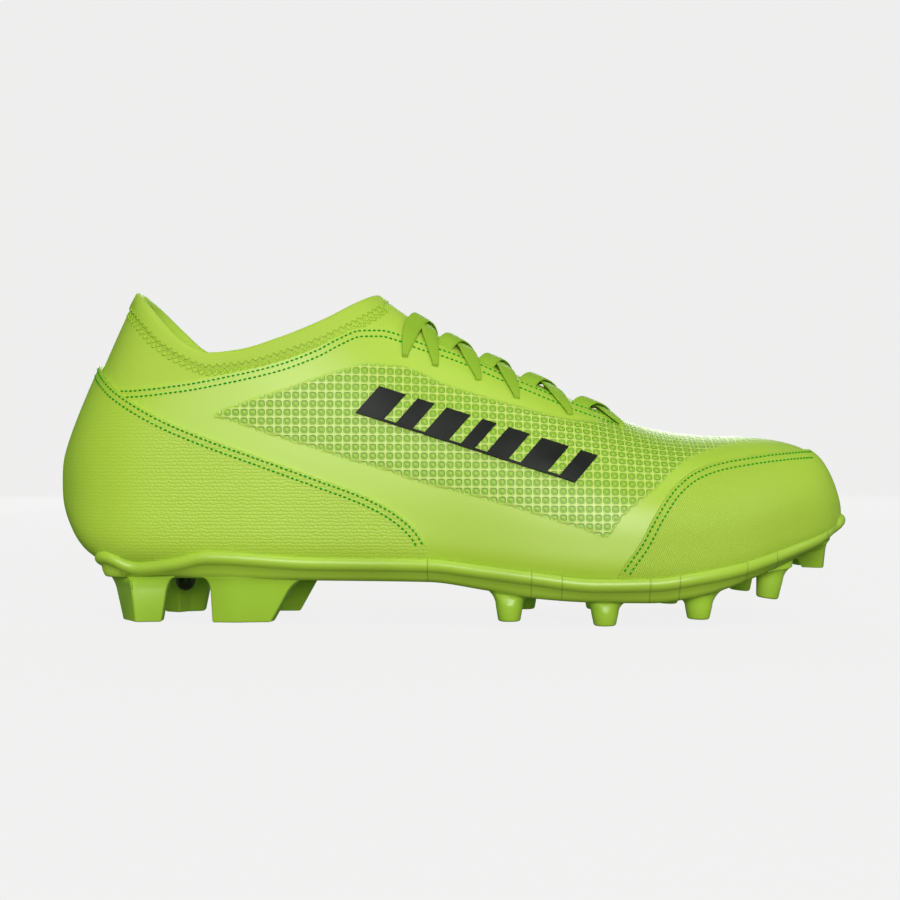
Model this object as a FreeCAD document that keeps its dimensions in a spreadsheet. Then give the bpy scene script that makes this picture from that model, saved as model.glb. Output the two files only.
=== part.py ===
"""Soccer cleat for firm ground, right foot: a moulded plate with bonded studs, a stretch bootie,
a synthetic upper with heel and toe overlays, stiffeners, footbed and lace.

Frame: +X towards the toe, +Z up, -Y the outer (lateral) side of the foot. The studs stand on z = 0.
Lengths are in millimetres.
"""
import FreeCAD, Part
import Sketcher
import math
import os

os.makedirs("parts", exist_ok=True)

V = FreeCAD.Vector
doc = FreeCAD.newDocument("soccer_cleat")

# ---------------------------------------------------------------- driving dimensions
DIMS = {
    "upper_skin": 1.2,          # thickness of the outer synthetic layer
    "backing": 1.6,             # thickness of foam backing, counter, puff and board
    "knit": 1.5,                # thickness of the knitted bootie
    "knit_sunk": 0.6,           # how far the bare knit lies below the outer layer's face
    "overlay": 0.8,             # thickness of the textured heel and toe overlays
    "hem_height": 6.5,          # height of the folded hem round the collar
    "foam": 3.4,                # thickness of the sockliner foam
    "cover": 0.8,               # thickness of the sockliner's textile cover
    "footbed_clearance": 0.7,   # gap between sockliner edge and bootie
    "flange": 2.3,              # how far the plate's rim stands out past the upper
    "stud_tip_radius": 3.9,     # conical stud, at the tip
    "stud_root_radius": 5.4,    # conical stud, where its flare begins
    "stud_flare": 3.6,          # radius of the flare into the plate
    "plug_radius": 3.4,         # domed plug under the heel
    "lace_width": 6.6,          # flat lace, across
    "lace_thick": 0.9,          # flat lace, through
    "eyelet_radius": 1.9,       # punched lace holes
    "mark_thick": 0.45,         # raised print on the outer side
}
sheet = doc.addObject("Spreadsheet::Sheet", "dims")
for row, (alias, value) in enumerate(DIMS.items(), start=1):
    sheet.set(f"A{row}", alias)
    sheet.set(f"B{row}", str(value))
    sheet.setAlias(f"B{row}", alias)

# Cross-sections of the lasted upper, from heel to toe. Each row: place along the foot, lowest
# height, height of the widest point, highest point (over the ankle it lies above the collar),
# and reach to the outer (lateral) and inner (medial) side.
SECTION_FIELDS = ("x", "floor", "girth", "crown", "outer", "inner")
SECTIONS = [
    (-145.0, 46.5, 50, 54.0, 3.0, 3.0),
    (-143.5, 39.0, 50, 63.0, 9.5, 9.5),
    (-140.0, 32.0, 50, 74.5, 16.5, 16.5),
    (-134.0, 24.0, 49, 89.0, 24.0, 24.0),
    (-126.0, 20.0, 48, 106.5, 29.5, 29.5),
    (-115.0, 19.6, 46, 128.0, 33.0, 32.5),
    (-95.0, 19.4, 44, 148.0, 34.5, 33.5),
    (-70.0, 19.0, 43, 150.0, 35.5, 33.0),
    (-48.0, 18.8, 42, 137.0, 36.0, 31.5),
    (-29.0, 18.5, 41, 121.0, 37.0, 30.5),
    (-8.0, 17.5, 39, 106.5, 39.0, 31.5),
    (12.0, 15.2, 36, 96.0, 42.0, 34.0),
    (32.0, 12.6, 33, 87.0, 44.8, 37.5),
    (52.0, 11.4, 31, 78.0, 46.2, 41.5),
    (72.0, 11.4, 30, 70.3, 45.5, 45.0),
    (92.0, 14.0, 31, 67.7, 42.3, 46.0),
    (110.0, 19.6, 34, 67.2, 36.0, 43.0),
    (124.0, 24.8, 37, 65.4, 27.5, 36.5),
    (134.0, 29.0, 38, 61.6, 18.0, 29.5),
    (140.0, 31.6, 38, 54.0, 9.5, 23.0),
    (143.3, 33.4, 38, 46.0, 2.5, 17.0),
    (144.8, 35.6, 37.5, 40.5, -2.5, 11.5),
]
# The plate's edge line, from heel to toe: place, underside height, top of the rim.
RIM_FIELDS = ("x", "under", "lip")
RIM = [
    (-132.8, 17.0, 23.4),
    (-127.0, 16.6, 26.2),
    (-114.0, 16.5, 22.4),
    (-101.0, 16.4, 23.9),
    (-88.0, 16.3, 26.4),
    (-50.0, 15.6, 24.4),
    (-10.0, 15.3, 24.0),
    (10.0, 12.6, 21.8),
    (26.0, 10.0, 19.8),
    (50.0, 8.5, 17.3),
    (70.0, 8.3, 17.6),
    (86.0, 10.2, 19.7),
    (101.0, 13.8, 22.4),
    (112.0, 17.6, 25.5),
    (122.0, 21.0, 28.7),
    (134.0, 25.6, 32.2),
    (141.0, 28.8, 35.0),
    (145.9, 32.5, 37.0),
]
row = len(DIMS) + 2
for prefix, fields, table in (("sec", SECTION_FIELDS, SECTIONS), ("rim", RIM_FIELDS, RIM)):
    for index, values in enumerate(table):
        for column, (field, value) in zip("ABCDEF", zip(fields, values)):
            sheet.set(f"{column}{row}", str(value))
            sheet.setAlias(f"{column}{row}", f"{prefix}_{index:02d}_{field}")
        row += 1
doc.recompute()


def size(alias):
    return float(sheet.get(alias))


def column_of(prefix, fields, count):
    """One list per field, read back from the sheet."""
    return {f: [size(f"{prefix}_{i:02d}_{f}") for i in range(count)] for f in fields}


LAST = column_of("sec", SECTION_FIELDS, len(SECTIONS))
LIP = column_of("rim", RIM_FIELDS, len(RIM))


def between(xs, values, x):
    """Smooth curve through the given places, with a slope at each that never overshoots."""
    x = min(max(x, xs[0]), xs[-1])
    i = max(0, min(len(xs) - 2, next((k for k in range(len(xs) - 1) if x <= xs[k + 1]), 0)))

    def chord(k):
        return (values[k + 1] - values[k]) / (xs[k + 1] - xs[k])

    def slope(k):
        if k == 0 or k == len(xs) - 1:
            return chord(min(k, len(xs) - 2))
        a, b = chord(k - 1), chord(k)
        return 0.0 if a * b <= 0 else 2 * a * b / (a + b)

    step = xs[i + 1] - xs[i]
    t = (x - xs[i]) / step
    return (
        (2 * t**3 - 3 * t**2 + 1) * values[i]
        + (t**3 - 2 * t**2 + t) * step * slope(i)
        + (3 * t**2 - 2 * t**3) * values[i + 1]
        + (t**3 - t**2) * step * slope(i + 1)
    )


def last_at(field, x):
    return between(LAST["x"], LAST[field], x)


def lip_at(field, x):
    return between(LIP["x"], LIP[field], x)


# ---------------------------------------------------------------- the lasted shape and its layers
LOW_POWER = 5.0    # squareness of a section below its widest point
HIGH_POWER = 2.15  # squareness above it
POINTS_ROUND = 20  # points on each section


def ring(x, centre, half, girth, low, high, low_power, high_power):
    """Closed spline round one section: half width, height below and height above the girth."""
    points = []
    for k in range(POINTS_ROUND):
        a = -math.pi / 2 + 2 * math.pi * k / POINTS_ROUND
        power = 2 / (low_power if math.sin(a) < 0 else high_power)
        height = low if math.sin(a) < 0 else high
        across = -math.copysign(abs(math.cos(a)) ** power, math.cos(a))
        up = math.copysign(abs(math.sin(a)) ** power, math.sin(a))
        points.append(V(x, centre + half * across, girth + height * up))
    spline = Part.BSplineCurve()
    spline.interpolate(Points=points, PeriodicFlag=True)
    return Part.Wire([spline.toShape()])


def grown(length, offset, full):
    """A length grown by an offset that fades out where the length is short."""
    return length + offset * min(1.0, length / full)


def lasted(offset):
    """Solid bounded by the upper's outer face, moved out by offset."""
    rings = []
    for i, x in enumerate(LAST["x"]):
        outer, inner = LAST["outer"][i], LAST["inner"][i]
        half, centre = (outer + inner) / 2, (inner - outer) / 2
        girth = LAST["girth"][i]
        low, high = girth - LAST["floor"][i], LAST["crown"][i] - girth
        end = min(1.0, half / 20)
        rings.append(
            ring(
                x * (1 + offset / 145),
                centre,
                grown(half, offset, 20),
                girth,
                grown(low, offset, 12),
                grown(high, offset, 20),
                2 + (LOW_POWER - 2) * end,
                2 + (HIGH_POWER - 2) * end,
            )
        )
    return Part.makeLoft(rings, True, False)


def wall_reach(side, x, z):
    """Half width of the upper's outer face on one side at height z."""
    girth, floor = last_at("girth", x), last_at("floor", x)
    outer, inner = last_at("outer", x), last_at("inner", x)
    half, centre = (outer + inner) / 2, (inner - outer) / 2
    share = min(1.0, max(0.0, (girth - z) / (girth - floor)))
    power = 2 + (LOW_POWER - 2) * min(1.0, half / 20)
    reach = half * (1 - share**power) ** (1 / power)
    return reach + centre if side > 0 else reach - centre


def plate_envelope():
    """Solid that holds the plate: dished underside, bullnosed rim."""
    rings = []
    heel_x, toe_x = LIP["x"][0], LIP["x"][-1]
    toe_start = toe_x - 12.0
    stations = sorted(set(LIP["x"] + [-131.0, -121.5, -108.0, -70.0, -30.0, 38.0, 60.0, 78.0, 128.0, 144.0]))
    for x in stations:
        lip, under = lip_at("lip", x), lip_at("under", x)
        inside = min(max(x, heel_x + 1.6), toe_start)
        outer = wall_reach(-1, inside, lip) + size("flange")
        inner = wall_reach(1, inside, lip) + size("flange")
        half, centre = (outer + inner) / 2, (inner - outer) / 2
        if x < heel_x + 25:
            round_off = math.sqrt(max(0.0, 1 - ((heel_x + 25 - x) / 26.2) ** 2))
            half = min(half, 27.5 * round_off + 1.0)
        if x > toe_start:
            half *= math.sqrt(1 - ((x - toe_start) / 12.6) ** 2)
            centre += (x - toe_start) * 0.02
        widest = lip - 0.36 * (lip - under)
        rings.append(ring(x, centre, half, widest, widest - under, (lip - widest) / 0.62, 2.7, 4.0))
    return Part.makeLoft(rings, True, False)


def side_profile(points, closing, reach=80.0):
    """Prism across the shoe whose outline in the XZ plane is a spline closed by straight runs."""
    spline = Part.BSplineCurve()
    spline.interpolate([V(x, -reach, z) for x, z in points])
    corners = [V(points[-1][0], -reach, points[-1][1])]
    corners += [V(x, -reach, z) for x, z in closing]
    corners.append(V(points[0][0], -reach, points[0][1]))
    edges = [spline.toShape()] + [Part.LineSegment(a, b).toShape() for a, b in zip(corners, corners[1:])]
    return Part.Face(Part.Wire(edges)).extrude(V(0, 2 * reach, 0))


def feature(name, shape):
    """One object of the document with a worked-out free-form shape."""
    made = doc.addObject("Part::Feature", name)
    made.Shape = shape
    return made


def boolean(kind, name, base, tool):
    """Part::Cut or Part::Common of two objects, recomputed at once."""
    made = doc.addObject(f"Part::{kind}", name)
    made.Base, made.Tool = base, tool
    made.Refine = False
    doc.recompute()
    return made


def cut(name, base, *tools):
    for index, tool in enumerate(tools):
        last = index == len(tools) - 1
        base = boolean("Cut", name if last else f"{name}_cut_{index}", base, tool)
    return base


def common(name, base, tool):
    return boolean("Common", name, base, tool)


skin_t, back_t, knit_t = size("upper_skin"), size("backing"), size("knit")
wall_t = skin_t + back_t + knit_t
face = feature("face", lasted(0.0))
under_skin = feature("under_skin", lasted(-skin_t))
under_backing = feature("under_backing", lasted(-skin_t - back_t))
cavity = feature("cavity", lasted(-wall_t))
knit_face = feature("knit_face", lasted(-size("knit_sunk")))
overlay_face = feature("overlay_face", lasted(size("overlay")))
mark_face = feature("mark_face", lasted(size("mark_thick")))
plate_block = feature("plate_block", plate_envelope())

# ---------------------------------------------------------------- outlines seen from the side
# Collar: the edge of the ankle opening, from the heel tab to the top of the tongue.
COLLAR = [(-118.5, 121.6), (-113, 116.0), (-104.5, 107.0), (-97, 100.2), (-88, 96.6), (-78, 97.4),
          (-63, 101.8), (-47, 108.6), (-36, 115.2), (-29.5, 119.6), (-27.0, 119.2)]
# Top edge of the outer layer: from the heel round the ankle, then down the throat to its front end.
THROAT = [(-138, 84.8), (-118, 84.4), (-98.6, 86.2), (-80.8, 89.4), (-63, 93.6), (-49.7, 98.7), (-41.3, 103.3),
          (-34, 106.2), (-26.5, 106.4), (-19, 104.6), (-10.8, 101.4), (-2.7, 99.0), (7.5, 95.2), (20.6, 89.4),
          (27, 86.9), (38.7, 82.1), (44.5, 79.8), (53, 77.0), (60, 75.2), (64.5, 76.0)]
# Heel overlay: from the top of the heel down to the plate behind the arch.
HEEL_EDGE = [(-150, 100.8), (-132, 94.8), (-126.5, 89), (-120.5, 83.6), (-104.5, 74), (-90, 67.7), (-69, 60),
             (-47.5, 52.2), (-33, 46.8), (-23.5, 42.2), (-16, 36.8), (-10.8, 30.4), (-7.3, 18)]
# Toe cap: from the plate at the ball of the foot up and over the toe.
TOE_EDGE = [(54.5, 10), (57.6, 19.3), (64.4, 29.5), (70.6, 40.8), (77.2, 49.6), (85.2, 55.2), (93.6, 58.1),
            (103.5, 59.9), (116, 61.5), (129, 62.5), (150, 63)]
hem = size("hem_height")
hem_line = [(x + (2.0 if x > -60 else -2.5 if x < -100 else 0.0), z - hem) for x, z in COLLAR]
eyestay_line = [(x, z - 15.0) for x, z in THROAT if -34 < x]
floor_edge = [(x, floor + wall_t + 1.5) for x, floor in zip(LAST["x"], LAST["floor"]) if -131 < x < 143]

above_collar = feature("above_collar", side_profile(COLLAR, [(-22, 170), (-150, 170), (-150, 124), (-121.5, 122.6)]))
above_hem = feature("above_hem", side_profile(hem_line, [(-14, 170), (-160, 170), (-160, 112)]))
above_throat = feature("above_throat", side_profile(THROAT, [(64.5, 170), (-160, 170), (-160, 84.8)]))
heel_zone = feature("heel_zone", side_profile(HEEL_EDGE, [(-7.3, 5), (-160, 5), (-160, 100.8)]))
toe_zone = feature("toe_zone", side_profile(TOE_EDGE, [(160, 63), (160, 5), (54.5, 5)]))
lip_line = [(-133.3, LIP["lip"][0] + 1.3)] + [(x, lip_at("lip", x) + 1.3) for x in range(-132, 146, 4)] + [(147, 38.7)]
below_lip = feature("below_lip", side_profile(lip_line, [(147, 0), (-133.3, 0)]))
board_zone = feature("board_zone", side_profile(floor_edge, [(150, 30), (150, 0), (-150, 0), (-150, 26)]))
counter_zone = feature("counter_zone", side_profile(
    [(-150, 76), (-120, 74), (-98, 66), (-84, 50), (-76, 30), (-74, 15)], [(-150, 15)]))
puff_zone = feature("puff_zone", side_profile(
    [(98, 10), (101, 30), (109, 46), (118, 60), (123, 75)], [(150, 75), (150, 10)]))
eyestay_zone = feature("eyestay_zone", side_profile(eyestay_line, [(66, 62), (66, 130), (-34, 130)]))
ankle = feature("ankle", Part.makeBox(100, 180, 60, V(-150, -90, 60)))
outside = feature("outside", Part.makeBox(320, 90, 200, V(-160, -90, -10)))

# ---------------------------------------------------------------- plate and upper, layer by layer
outsole_plate = cut("outsole_plate", plate_block, face)

skin_layer = cut("skin_layer", face, under_skin)
open_skin = cut("open_skin", skin_layer, above_throat)

backing_layer = cut("backing_layer", under_skin, under_backing)
backing_layer = cut("open_backing", backing_layer, above_throat)
insole_board = common("insole_board", backing_layer, board_zone)
rest = cut("above_board", backing_layer, board_zone)
heel_counter = common("heel_counter", rest, counter_zone)
rest = cut("past_counter", rest, counter_zone)
toe_puff = common("toe_puff", rest, puff_zone)
rest = cut("past_puff", rest, puff_zone)
eyestay_layer = common("eyestay_layer", rest, eyestay_zone)
rest = cut("past_eyestay", rest, eyestay_zone)
collar_foam = common("collar_foam", rest, ankle)
upper_backing = cut("upper_backing", rest, ankle)

lining_layer = cut("lining_layer", under_backing, cavity)
lining = cut("lining", lining_layer, above_hem)
knit_layer = cut("knit_layer", knit_face, under_backing)
knit_layer = common("open_knit", knit_layer, above_throat)
knit_layer = cut("knit_below_hem", knit_layer, above_hem)
hem_layer = cut("hem_layer", knit_face, cavity)
hem_layer = cut("open_hem", hem_layer, above_collar)
collar_hem = common("collar_hem", hem_layer, above_hem)

overlay_layer = cut("overlay_layer", overlay_face, face)
overlay_layer = cut("overlay_above_plate", overlay_layer, below_lip)
heel_overlay = common("heel_overlay", overlay_layer, heel_zone)
toe_cap = common("toe_cap", overlay_layer, toe_zone)

# ---------------------------------------------------------------- footbed, loose inside the bootie
gap = size("footbed_clearance")
footbed_rise = [(x, z - 1.5 + gap) for x, z in floor_edge]
foam_top = [(x, z + size("foam")) for x, z in footbed_rise]
cover_top = [(x, z + size("cover")) for x, z in foam_top]
footbed_block = feature("footbed_block", lasted(-wall_t - gap))
under_foam_top = feature("under_foam_top", side_profile(foam_top, [(150, 36), (150, 0), (-150, 0), (-150, 28)]))
under_cover_top = feature("under_cover_top", side_profile(cover_top, [(150, 37), (150, 0), (-150, 0), (-150, 29)]))
footbed = common("footbed", footbed_block, under_cover_top)
sockliner_foam = common("sockliner_foam", footbed, under_foam_top)
sockliner_cover = cut("sockliner_cover", footbed, under_foam_top)


# ---------------------------------------------------------------- studs
def origin_plane(body, role):
    return next(f for f in body.Origin.OriginFeatures if f.Role == role)


def sketch_on(body, role, name, rise=0.0):
    sketch = body.newObject("Sketcher::SketchObject", name)
    sketch.AttachmentSupport = [(origin_plane(body, role), "")]
    sketch.MapMode = "FlatFace"
    sketch.AttachmentOffset = FreeCAD.Placement(V(0, 0, rise), FreeCAD.Rotation())
    return sketch


def outline(sketch, points):
    """Closed run of straight lines."""
    count = len(points)
    for a, b in zip(points, points[1:] + points[:1]):
        sketch.addGeometry(Part.LineSegment(V(*a, 0), V(*b, 0)), False)
    for line in range(count):
        sketch.addConstraint(Sketcher.Constraint("Coincident", line, 2, (line + 1) % count, 1))


def turned(name, place, lean, rings, height, driven):
    """Revolved body. Rings are (radius, height) from the tip up; driven gives a ring's radius a formula."""
    body = doc.addObject("PartDesign::Body", f"{name}_body")
    sketch = sketch_on(body, "XZ_Plane", f"{name}_profile")
    outline(sketch, [(0, 0)] + rings + [(0, height)])
    for index, formula in driven:
        number = sketch.addConstraint(Sketcher.Constraint("DistanceX", -1, 1, index, 2, rings[index][0]))
        sketch.setExpression(f"Constraints[{number}]", formula)
    doc.recompute()
    solid = body.newObject("PartDesign::Revolution", f"{name}_turned")
    solid.Profile = sketch
    solid.ReferenceAxis = (sketch, ["V_Axis"])
    solid.Angle = 360.0
    body.Placement = FreeCAD.Placement(V(*place), FreeCAD.Rotation(V(0, 1, 0), lean))
    doc.recompute()
    return body


def blade(name, low, high, tip, height):
    """Lofted body from a small bottom outline to a larger top one, with a chamfered bottom edge."""
    body = doc.addObject("PartDesign::Body", f"{name}_body")
    middle_x = sum(x for x, _ in low) / len(low)
    middle_y = sum(y for _, y in low) / len(low)
    worn = [(middle_x + (x - middle_x) * 0.84, middle_y + (y - middle_y) * 0.84) for x, y in low]
    sections = []
    for level, (points, rise) in enumerate(((worn, 0.0), (low, 1.0), (high, height))):
        sections.append(sketch_on(body, "XY_Plane", f"{name}_section_{level}", rise))
        outline(sections[-1], points)
    doc.recompute()
    loft = body.newObject("PartDesign::AdditiveLoft", f"{name}_loft")
    loft.Profile = sections[0]
    loft.Sections = sections[1:]
    loft.Ruled = True
    body.Placement = FreeCAD.Placement(V(0, 0, tip), FreeCAD.Rotation())
    doc.recompute()
    return body


tip_r, root_r, flare = size("stud_tip_radius"), size("stud_root_radius"), size("stud_flare")
# Conical studs, heel side to toe side: name, x, y, tip height, forward lean in degrees
STUDS = [
    ("lateral_stud_1", 19.6, -35.0, 1.4, 0), ("lateral_stud_2", 53.4, -37.5, 0.0, 0),
    ("lateral_stud_3", 87.0, -33.5, 2.0, 2), ("lateral_stud_4", 113.5, -22.0, 8.6, 8),
    ("medial_stud_1", 27.5, 27.5, 0.6, 0), ("medial_stud_2", 56.0, 34.0, 0.0, 0),
    ("medial_stud_3", 84.0, 36.5, 2.0, 2), ("medial_stud_4", 111.5, 30.5, 7.6, 6),
]
nodes = {}
for name, x, y, tip, lean in STUDS:
    height = lip_at("under", x) - tip + 2.2
    rings = [(tip_r - 0.8, 0), (tip_r + 0.2, 0.8), (root_r, height - flare - 0.8)]
    for angle in (15, 35, 55, 75):
        bend = math.radians(angle)
        rings.append((root_r + flare * (1 - math.cos(bend)), height - flare * (1 - math.sin(bend))))
    driven = [(0, "dims.stud_tip_radius - 0.8"), (1, "dims.stud_tip_radius + 0.2"), (2, "dims.stud_root_radius")]
    nodes[name] = cut(name, turned(name, (x, y, tip), lean, rings, height, driven), plate_block)

# Heel and toe blades: name, bottom outline, top outline, and for the toe the height of the tip
HEEL_BLADES = [
    ("lateral_heel_blade_rear",
     [(-121, -15.5), (-114.5, -27), (-105.5, -25.5), (-105.5, -19), (-111.5, -17), (-114.5, -12)],
     [(-126, -13.5), (-117, -29), (-102, -29.5), (-102, -19), (-110, -15), (-114, -9)]),
    ("lateral_heel_blade_front",
     [(-86.8, -20.5), (-86.8, -28), (-78, -29), (-66, -27), (-65, -21.5), (-78, -20)],
     [(-88.5, -17.5), (-88.5, -31), (-78, -32.5), (-56, -30.5), (-55, -19.5), (-78, -16.5)]),
    ("medial_heel_blade_rear",
     [(-110.5, 17), (-105, 26.5), (-96, 25.5), (-96, 19.5), (-101.5, 17.5), (-104.5, 13)],
     [(-117, 14), (-109, 29), (-92.5, 29.5), (-92.5, 19), (-100, 15), (-104.5, 9)]),
    ("medial_heel_blade_front",
     [(-78, 20.5), (-78, 27), (-69, 27.5), (-60, 25.5), (-59, 20.5), (-69, 19.5)],
     [(-81, 17), (-81, 30), (-69, 31), (-50.5, 28), (-49.5, 18), (-69, 16)]),
]
TOE_BLADES = [
    ("lateral_toe_blade",
     [(131.5, -4.5), (136, -6), (137, -2.5), (132, -1)],
     [(124, -7), (140.5, -9), (141.5, 0), (125, 2)], 18.4),
    ("medial_toe_blade",
     [(131, 15), (136, 13.5), (135, 18.5), (130, 19.5)],
     [(124, 11.5), (141.5, 9), (139, 20), (123, 23)], 18.4),
]
for name, low, high in HEEL_BLADES:
    nodes[name] = cut(name, blade(name, low, high, 0.0, 18.5), plate_block)
for name, low, high, tip in TOE_BLADES:
    nodes[name] = cut(name, blade(name, low, high, tip, 10.5), plate_block)
plug_r = size("plug_radius")
plug_rings = [(plug_r * math.sin(math.radians(a)), plug_r * (1 - math.cos(math.radians(a)))) for a in (25, 50, 75)]
plug_rings = [(plug_r * 0.2, 0)] + plug_rings + [(plug_r + 0.6, plug_r + 3.5)]
plug = turned("heel_plug", (-99.0, 0.0, 9.6), 0, plug_rings, 9.5, [])
nodes["heel_plug"] = cut("heel_plug", plug, plate_block)

# ---------------------------------------------------------------- lace and its eyelets
EYELETS = [(60.7, 70.7), (41.4, 74.9), (22.3, 80.7), (8.6, 87.1), (-6.9, 92.2), (-17.7, 95.5)]
LATERAL, MEDIAL = -1, 1


def section_at(x):
    outer, inner = last_at("outer", x), last_at("inner", x)
    return (outer + inner) / 2, (inner - outer) / 2, last_at("girth", x), last_at("crown", x)


def top_point(x, y, lift):
    """Point over the instep at (x, y), lifted along the surface normal; and that normal."""
    def height(px, py):
        half, centre, girth, crown = section_at(px)
        share = min(0.999, abs(py - centre) / half)
        return girth + (crown - girth) * (1 - share**HIGH_POWER) ** (1 / HIGH_POWER)

    z = height(x, y)
    normal = V(height(x - 1, y) - height(x + 1, y), height(x, y - 1) - height(x, y + 1), 2).normalize()
    return V(x, y, z) + normal * lift, normal


def eyelet_plan(side, row):
    x, z = EYELETS[row]
    half, centre, girth, crown = section_at(x)
    share = (1 - ((z - girth) / (crown - girth)) ** HIGH_POWER) ** (1 / HIGH_POWER)
    return V(x, centre + side * half * share, 0)


wide, thick = size("lace_width"), size("lace_thick")
under = -skin_t - thick / 2 - 0.12   # centre of a strand lying below the outer layer
above = thick / 2 + 0.3              # centre of a strand lying on it
tight = 0.5                          # share of the lace's width inside an eyelet


def strand(start, end, peak):
    """Stations of one crossing: out over the edge at the start, in below the edge at the end."""
    rises = [(0.0, above, tight), (0.07, above, 0.75), (0.16, above + 0.2, 1.0), (0.27, 0.6 * peak + 0.5, 1.0),
             (0.38, peak, 1.0), (0.5, peak, 1.0), (0.62, peak - 0.2, 1.0), (0.71, 0.5 * peak, 1.0),
             (0.78, -0.5, 1.0), (0.84, under, 0.95), (0.93, under, 0.75), (1.0, under, tight)]
    return [(start + (end - start) * u, lift, share) for u, lift, share in rises]


def turn(plan, outward, rising):
    """Stations of the fold through an eyelet, from below to above or the other way."""
    loop = [(0.9, under + 0.25), (1.25, under / 2 + above / 2), (0.9, above - 0.25)]
    if not rising:
        loop.reverse()
    return [(plan + outward * out, lift, tight) for out, lift in loop]


def half_lace(first_side, peaks):
    """Stations from the front bar's middle, out through the first eyelet and up to the last row."""
    side = first_side
    plan = eyelet_plan(side, 0)
    middle = V(plan.x + 0.6, (eyelet_plan(LATERAL, 0).y + eyelet_plan(MEDIAL, 0).y) / 2, 0)
    stations = [(middle, under, 0.9), (middle + (plan - middle) * 0.5, under, 0.8), (plan, under, tight)]
    for row, peak in enumerate(peaks):
        goal = eyelet_plan(-side, row + 1)
        stations += turn(plan, V(0, side, 0), True)
        last = row == len(peaks) - 1
        crossing = strand(plan, goal, peak)
        if last:
            crossing = [(p, max(lift, above), share) for p, lift, share in crossing]
        stations += crossing
        plan, side = goal, -side
    stations += turn(plan, V(0, side, 0), False)
    stations.append((plan + V(0, -side * 2.5, 0), under, tight))
    return stations


low_peak, high_peak = 2.0, 3.5
left = half_lace(LATERAL, [low_peak, high_peak, low_peak, high_peak, low_peak])
right = half_lace(MEDIAL, [high_peak, low_peak, high_peak, low_peak, high_peak])
route = left[::-1] + right[1:]
located = [top_point(plan.x, plan.y, lift) for plan, lift, _ in route]
centres = [point for point, _ in located]
wires = []
across = V(1, 0, 0)
for index, (point, normal) in enumerate(located):
    before, after = centres[max(0, index - 1)], centres[min(len(centres) - 1, index + 1)]
    travel = (after - before).normalize()
    flat = travel.cross(normal)
    if flat.Length < 0.6:
        flat = across
    flat = flat.normalize()
    if flat.dot(across) < 0:
        flat = flat * -1
    flat = (flat + across).normalize()
    flat = (flat - travel * flat.dot(travel)).normalize()
    across = flat
    face_way = travel.cross(flat).normalize()
    half_wide, half_thick = flat * (wide * route[index][2] / 2), face_way * (thick / 2)
    corners = [point - half_wide - half_thick, point + half_wide - half_thick,
               point + half_wide + half_thick, point - half_wide + half_thick]
    wires.append(Part.makePolygon(corners + corners[:1]))
lace = feature("lace", Part.makeLoft(wires, True, True))
lace_length = sum((b - a).Length for a, b in zip(centres, centres[1:]))
print(f"lace route {lace_length:.0f} mm, {len(wires)} stations")

holes = []
for row in range(len(EYELETS)):
    for side in (LATERAL, MEDIAL):
        plan = eyelet_plan(side, row) + V(0, side * 0.9, 0)
        point, normal = top_point(plan.x, plan.y, -3.0)
        holes.append(Part.makeCylinder(size("eyelet_radius"), 6.0, point, normal))
eyelet_holes = feature("eyelet_holes", Part.makeCompound(holes))

# ---------------------------------------------------------------- printed mark on the outer side
BARS = [9.5, 6.0, 8.5, 5.0, 7.5, 9.5, 6.0]  # widths of the slanted bars
GAP, RISE, SLANT, LINE = 4.2, 9.6, 8.4, 0.7  # between bars, bar height, forward lean, joining line
START, FALL = V(-35.0, 0, 75.6), 0.32        # lower left corner of the mark and its fall per millimetre


def mark_point(along, up):
    """Point of the mark's outline; it falls forward and its uprights lean forward."""
    return V(START.x + along + SLANT * up / RISE, -80, START.z - FALL * along + up)


corners = [mark_point(0, 0)]
length = sum(BARS) + GAP * (len(BARS) - 1)
corners.append(mark_point(length, 0))
along = length
for index, width in enumerate(reversed(BARS)):
    corners += [mark_point(along, RISE), mark_point(along - width, RISE)]
    if index < len(BARS) - 1:
        corners += [mark_point(along - width, LINE), mark_point(along - width - GAP, LINE)]
    along -= width + GAP
mark_prism = feature("mark_prism", Part.Face(Part.makePolygon(corners + corners[:1])).extrude(V(0, 78, 0)))
mark_layer = cut("mark_layer", mark_face, face)
side_mark = common("side_mark", mark_layer, mark_prism)

# ---------------------------------------------------------------- the named pieces
nodes["outsole_plate"] = outsole_plate
nodes["upper_body"] = cut("upper_body", open_skin, eyelet_holes, lace)
nodes["heel_overlay"] = heel_overlay
nodes["toe_cap"] = toe_cap
nodes["side_mark"] = side_mark
nodes["eyestay"] = cut("eyestay", eyestay_layer, eyelet_holes, lace)
nodes["heel_counter"] = heel_counter
nodes["toe_puff"] = toe_puff
nodes["collar_foam"] = collar_foam
nodes["upper_backing"] = upper_backing
nodes["insole_board"] = insole_board
nodes["lining"] = lining
nodes["knit_collar"] = cut("knit_collar", knit_layer, lace)
nodes["collar_hem"] = collar_hem
nodes["sockliner_foam"] = sockliner_foam
nodes["sockliner_cover"] = sockliner_cover
nodes["lace"] = lace
doc.recompute()

for made in doc.Objects:
    if "Invalid" in made.State or "Error" in made.State:
        raise RuntimeError(f"{made.Name} did not compute")
for name, made in nodes.items():
    shape = made.Shape
    if shape.isNull() or not shape.isValid() or shape.Volume <= 0:
        raise RuntimeError(f"{name} has no valid solid")
    made.Label = name
    shape.exportStep(f"parts/{name}.step")
    print(f"{name}: {len(shape.Solids)} solid, {shape.Volume / 1000:.2f} cm3")
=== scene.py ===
# %% [markdown]
# # A firm-ground football boot, right foot
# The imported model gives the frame: every piece below is made in metres in its coordinates, with
# +X towards the toe, +Z up and -Y on the outer side of the foot.

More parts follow.
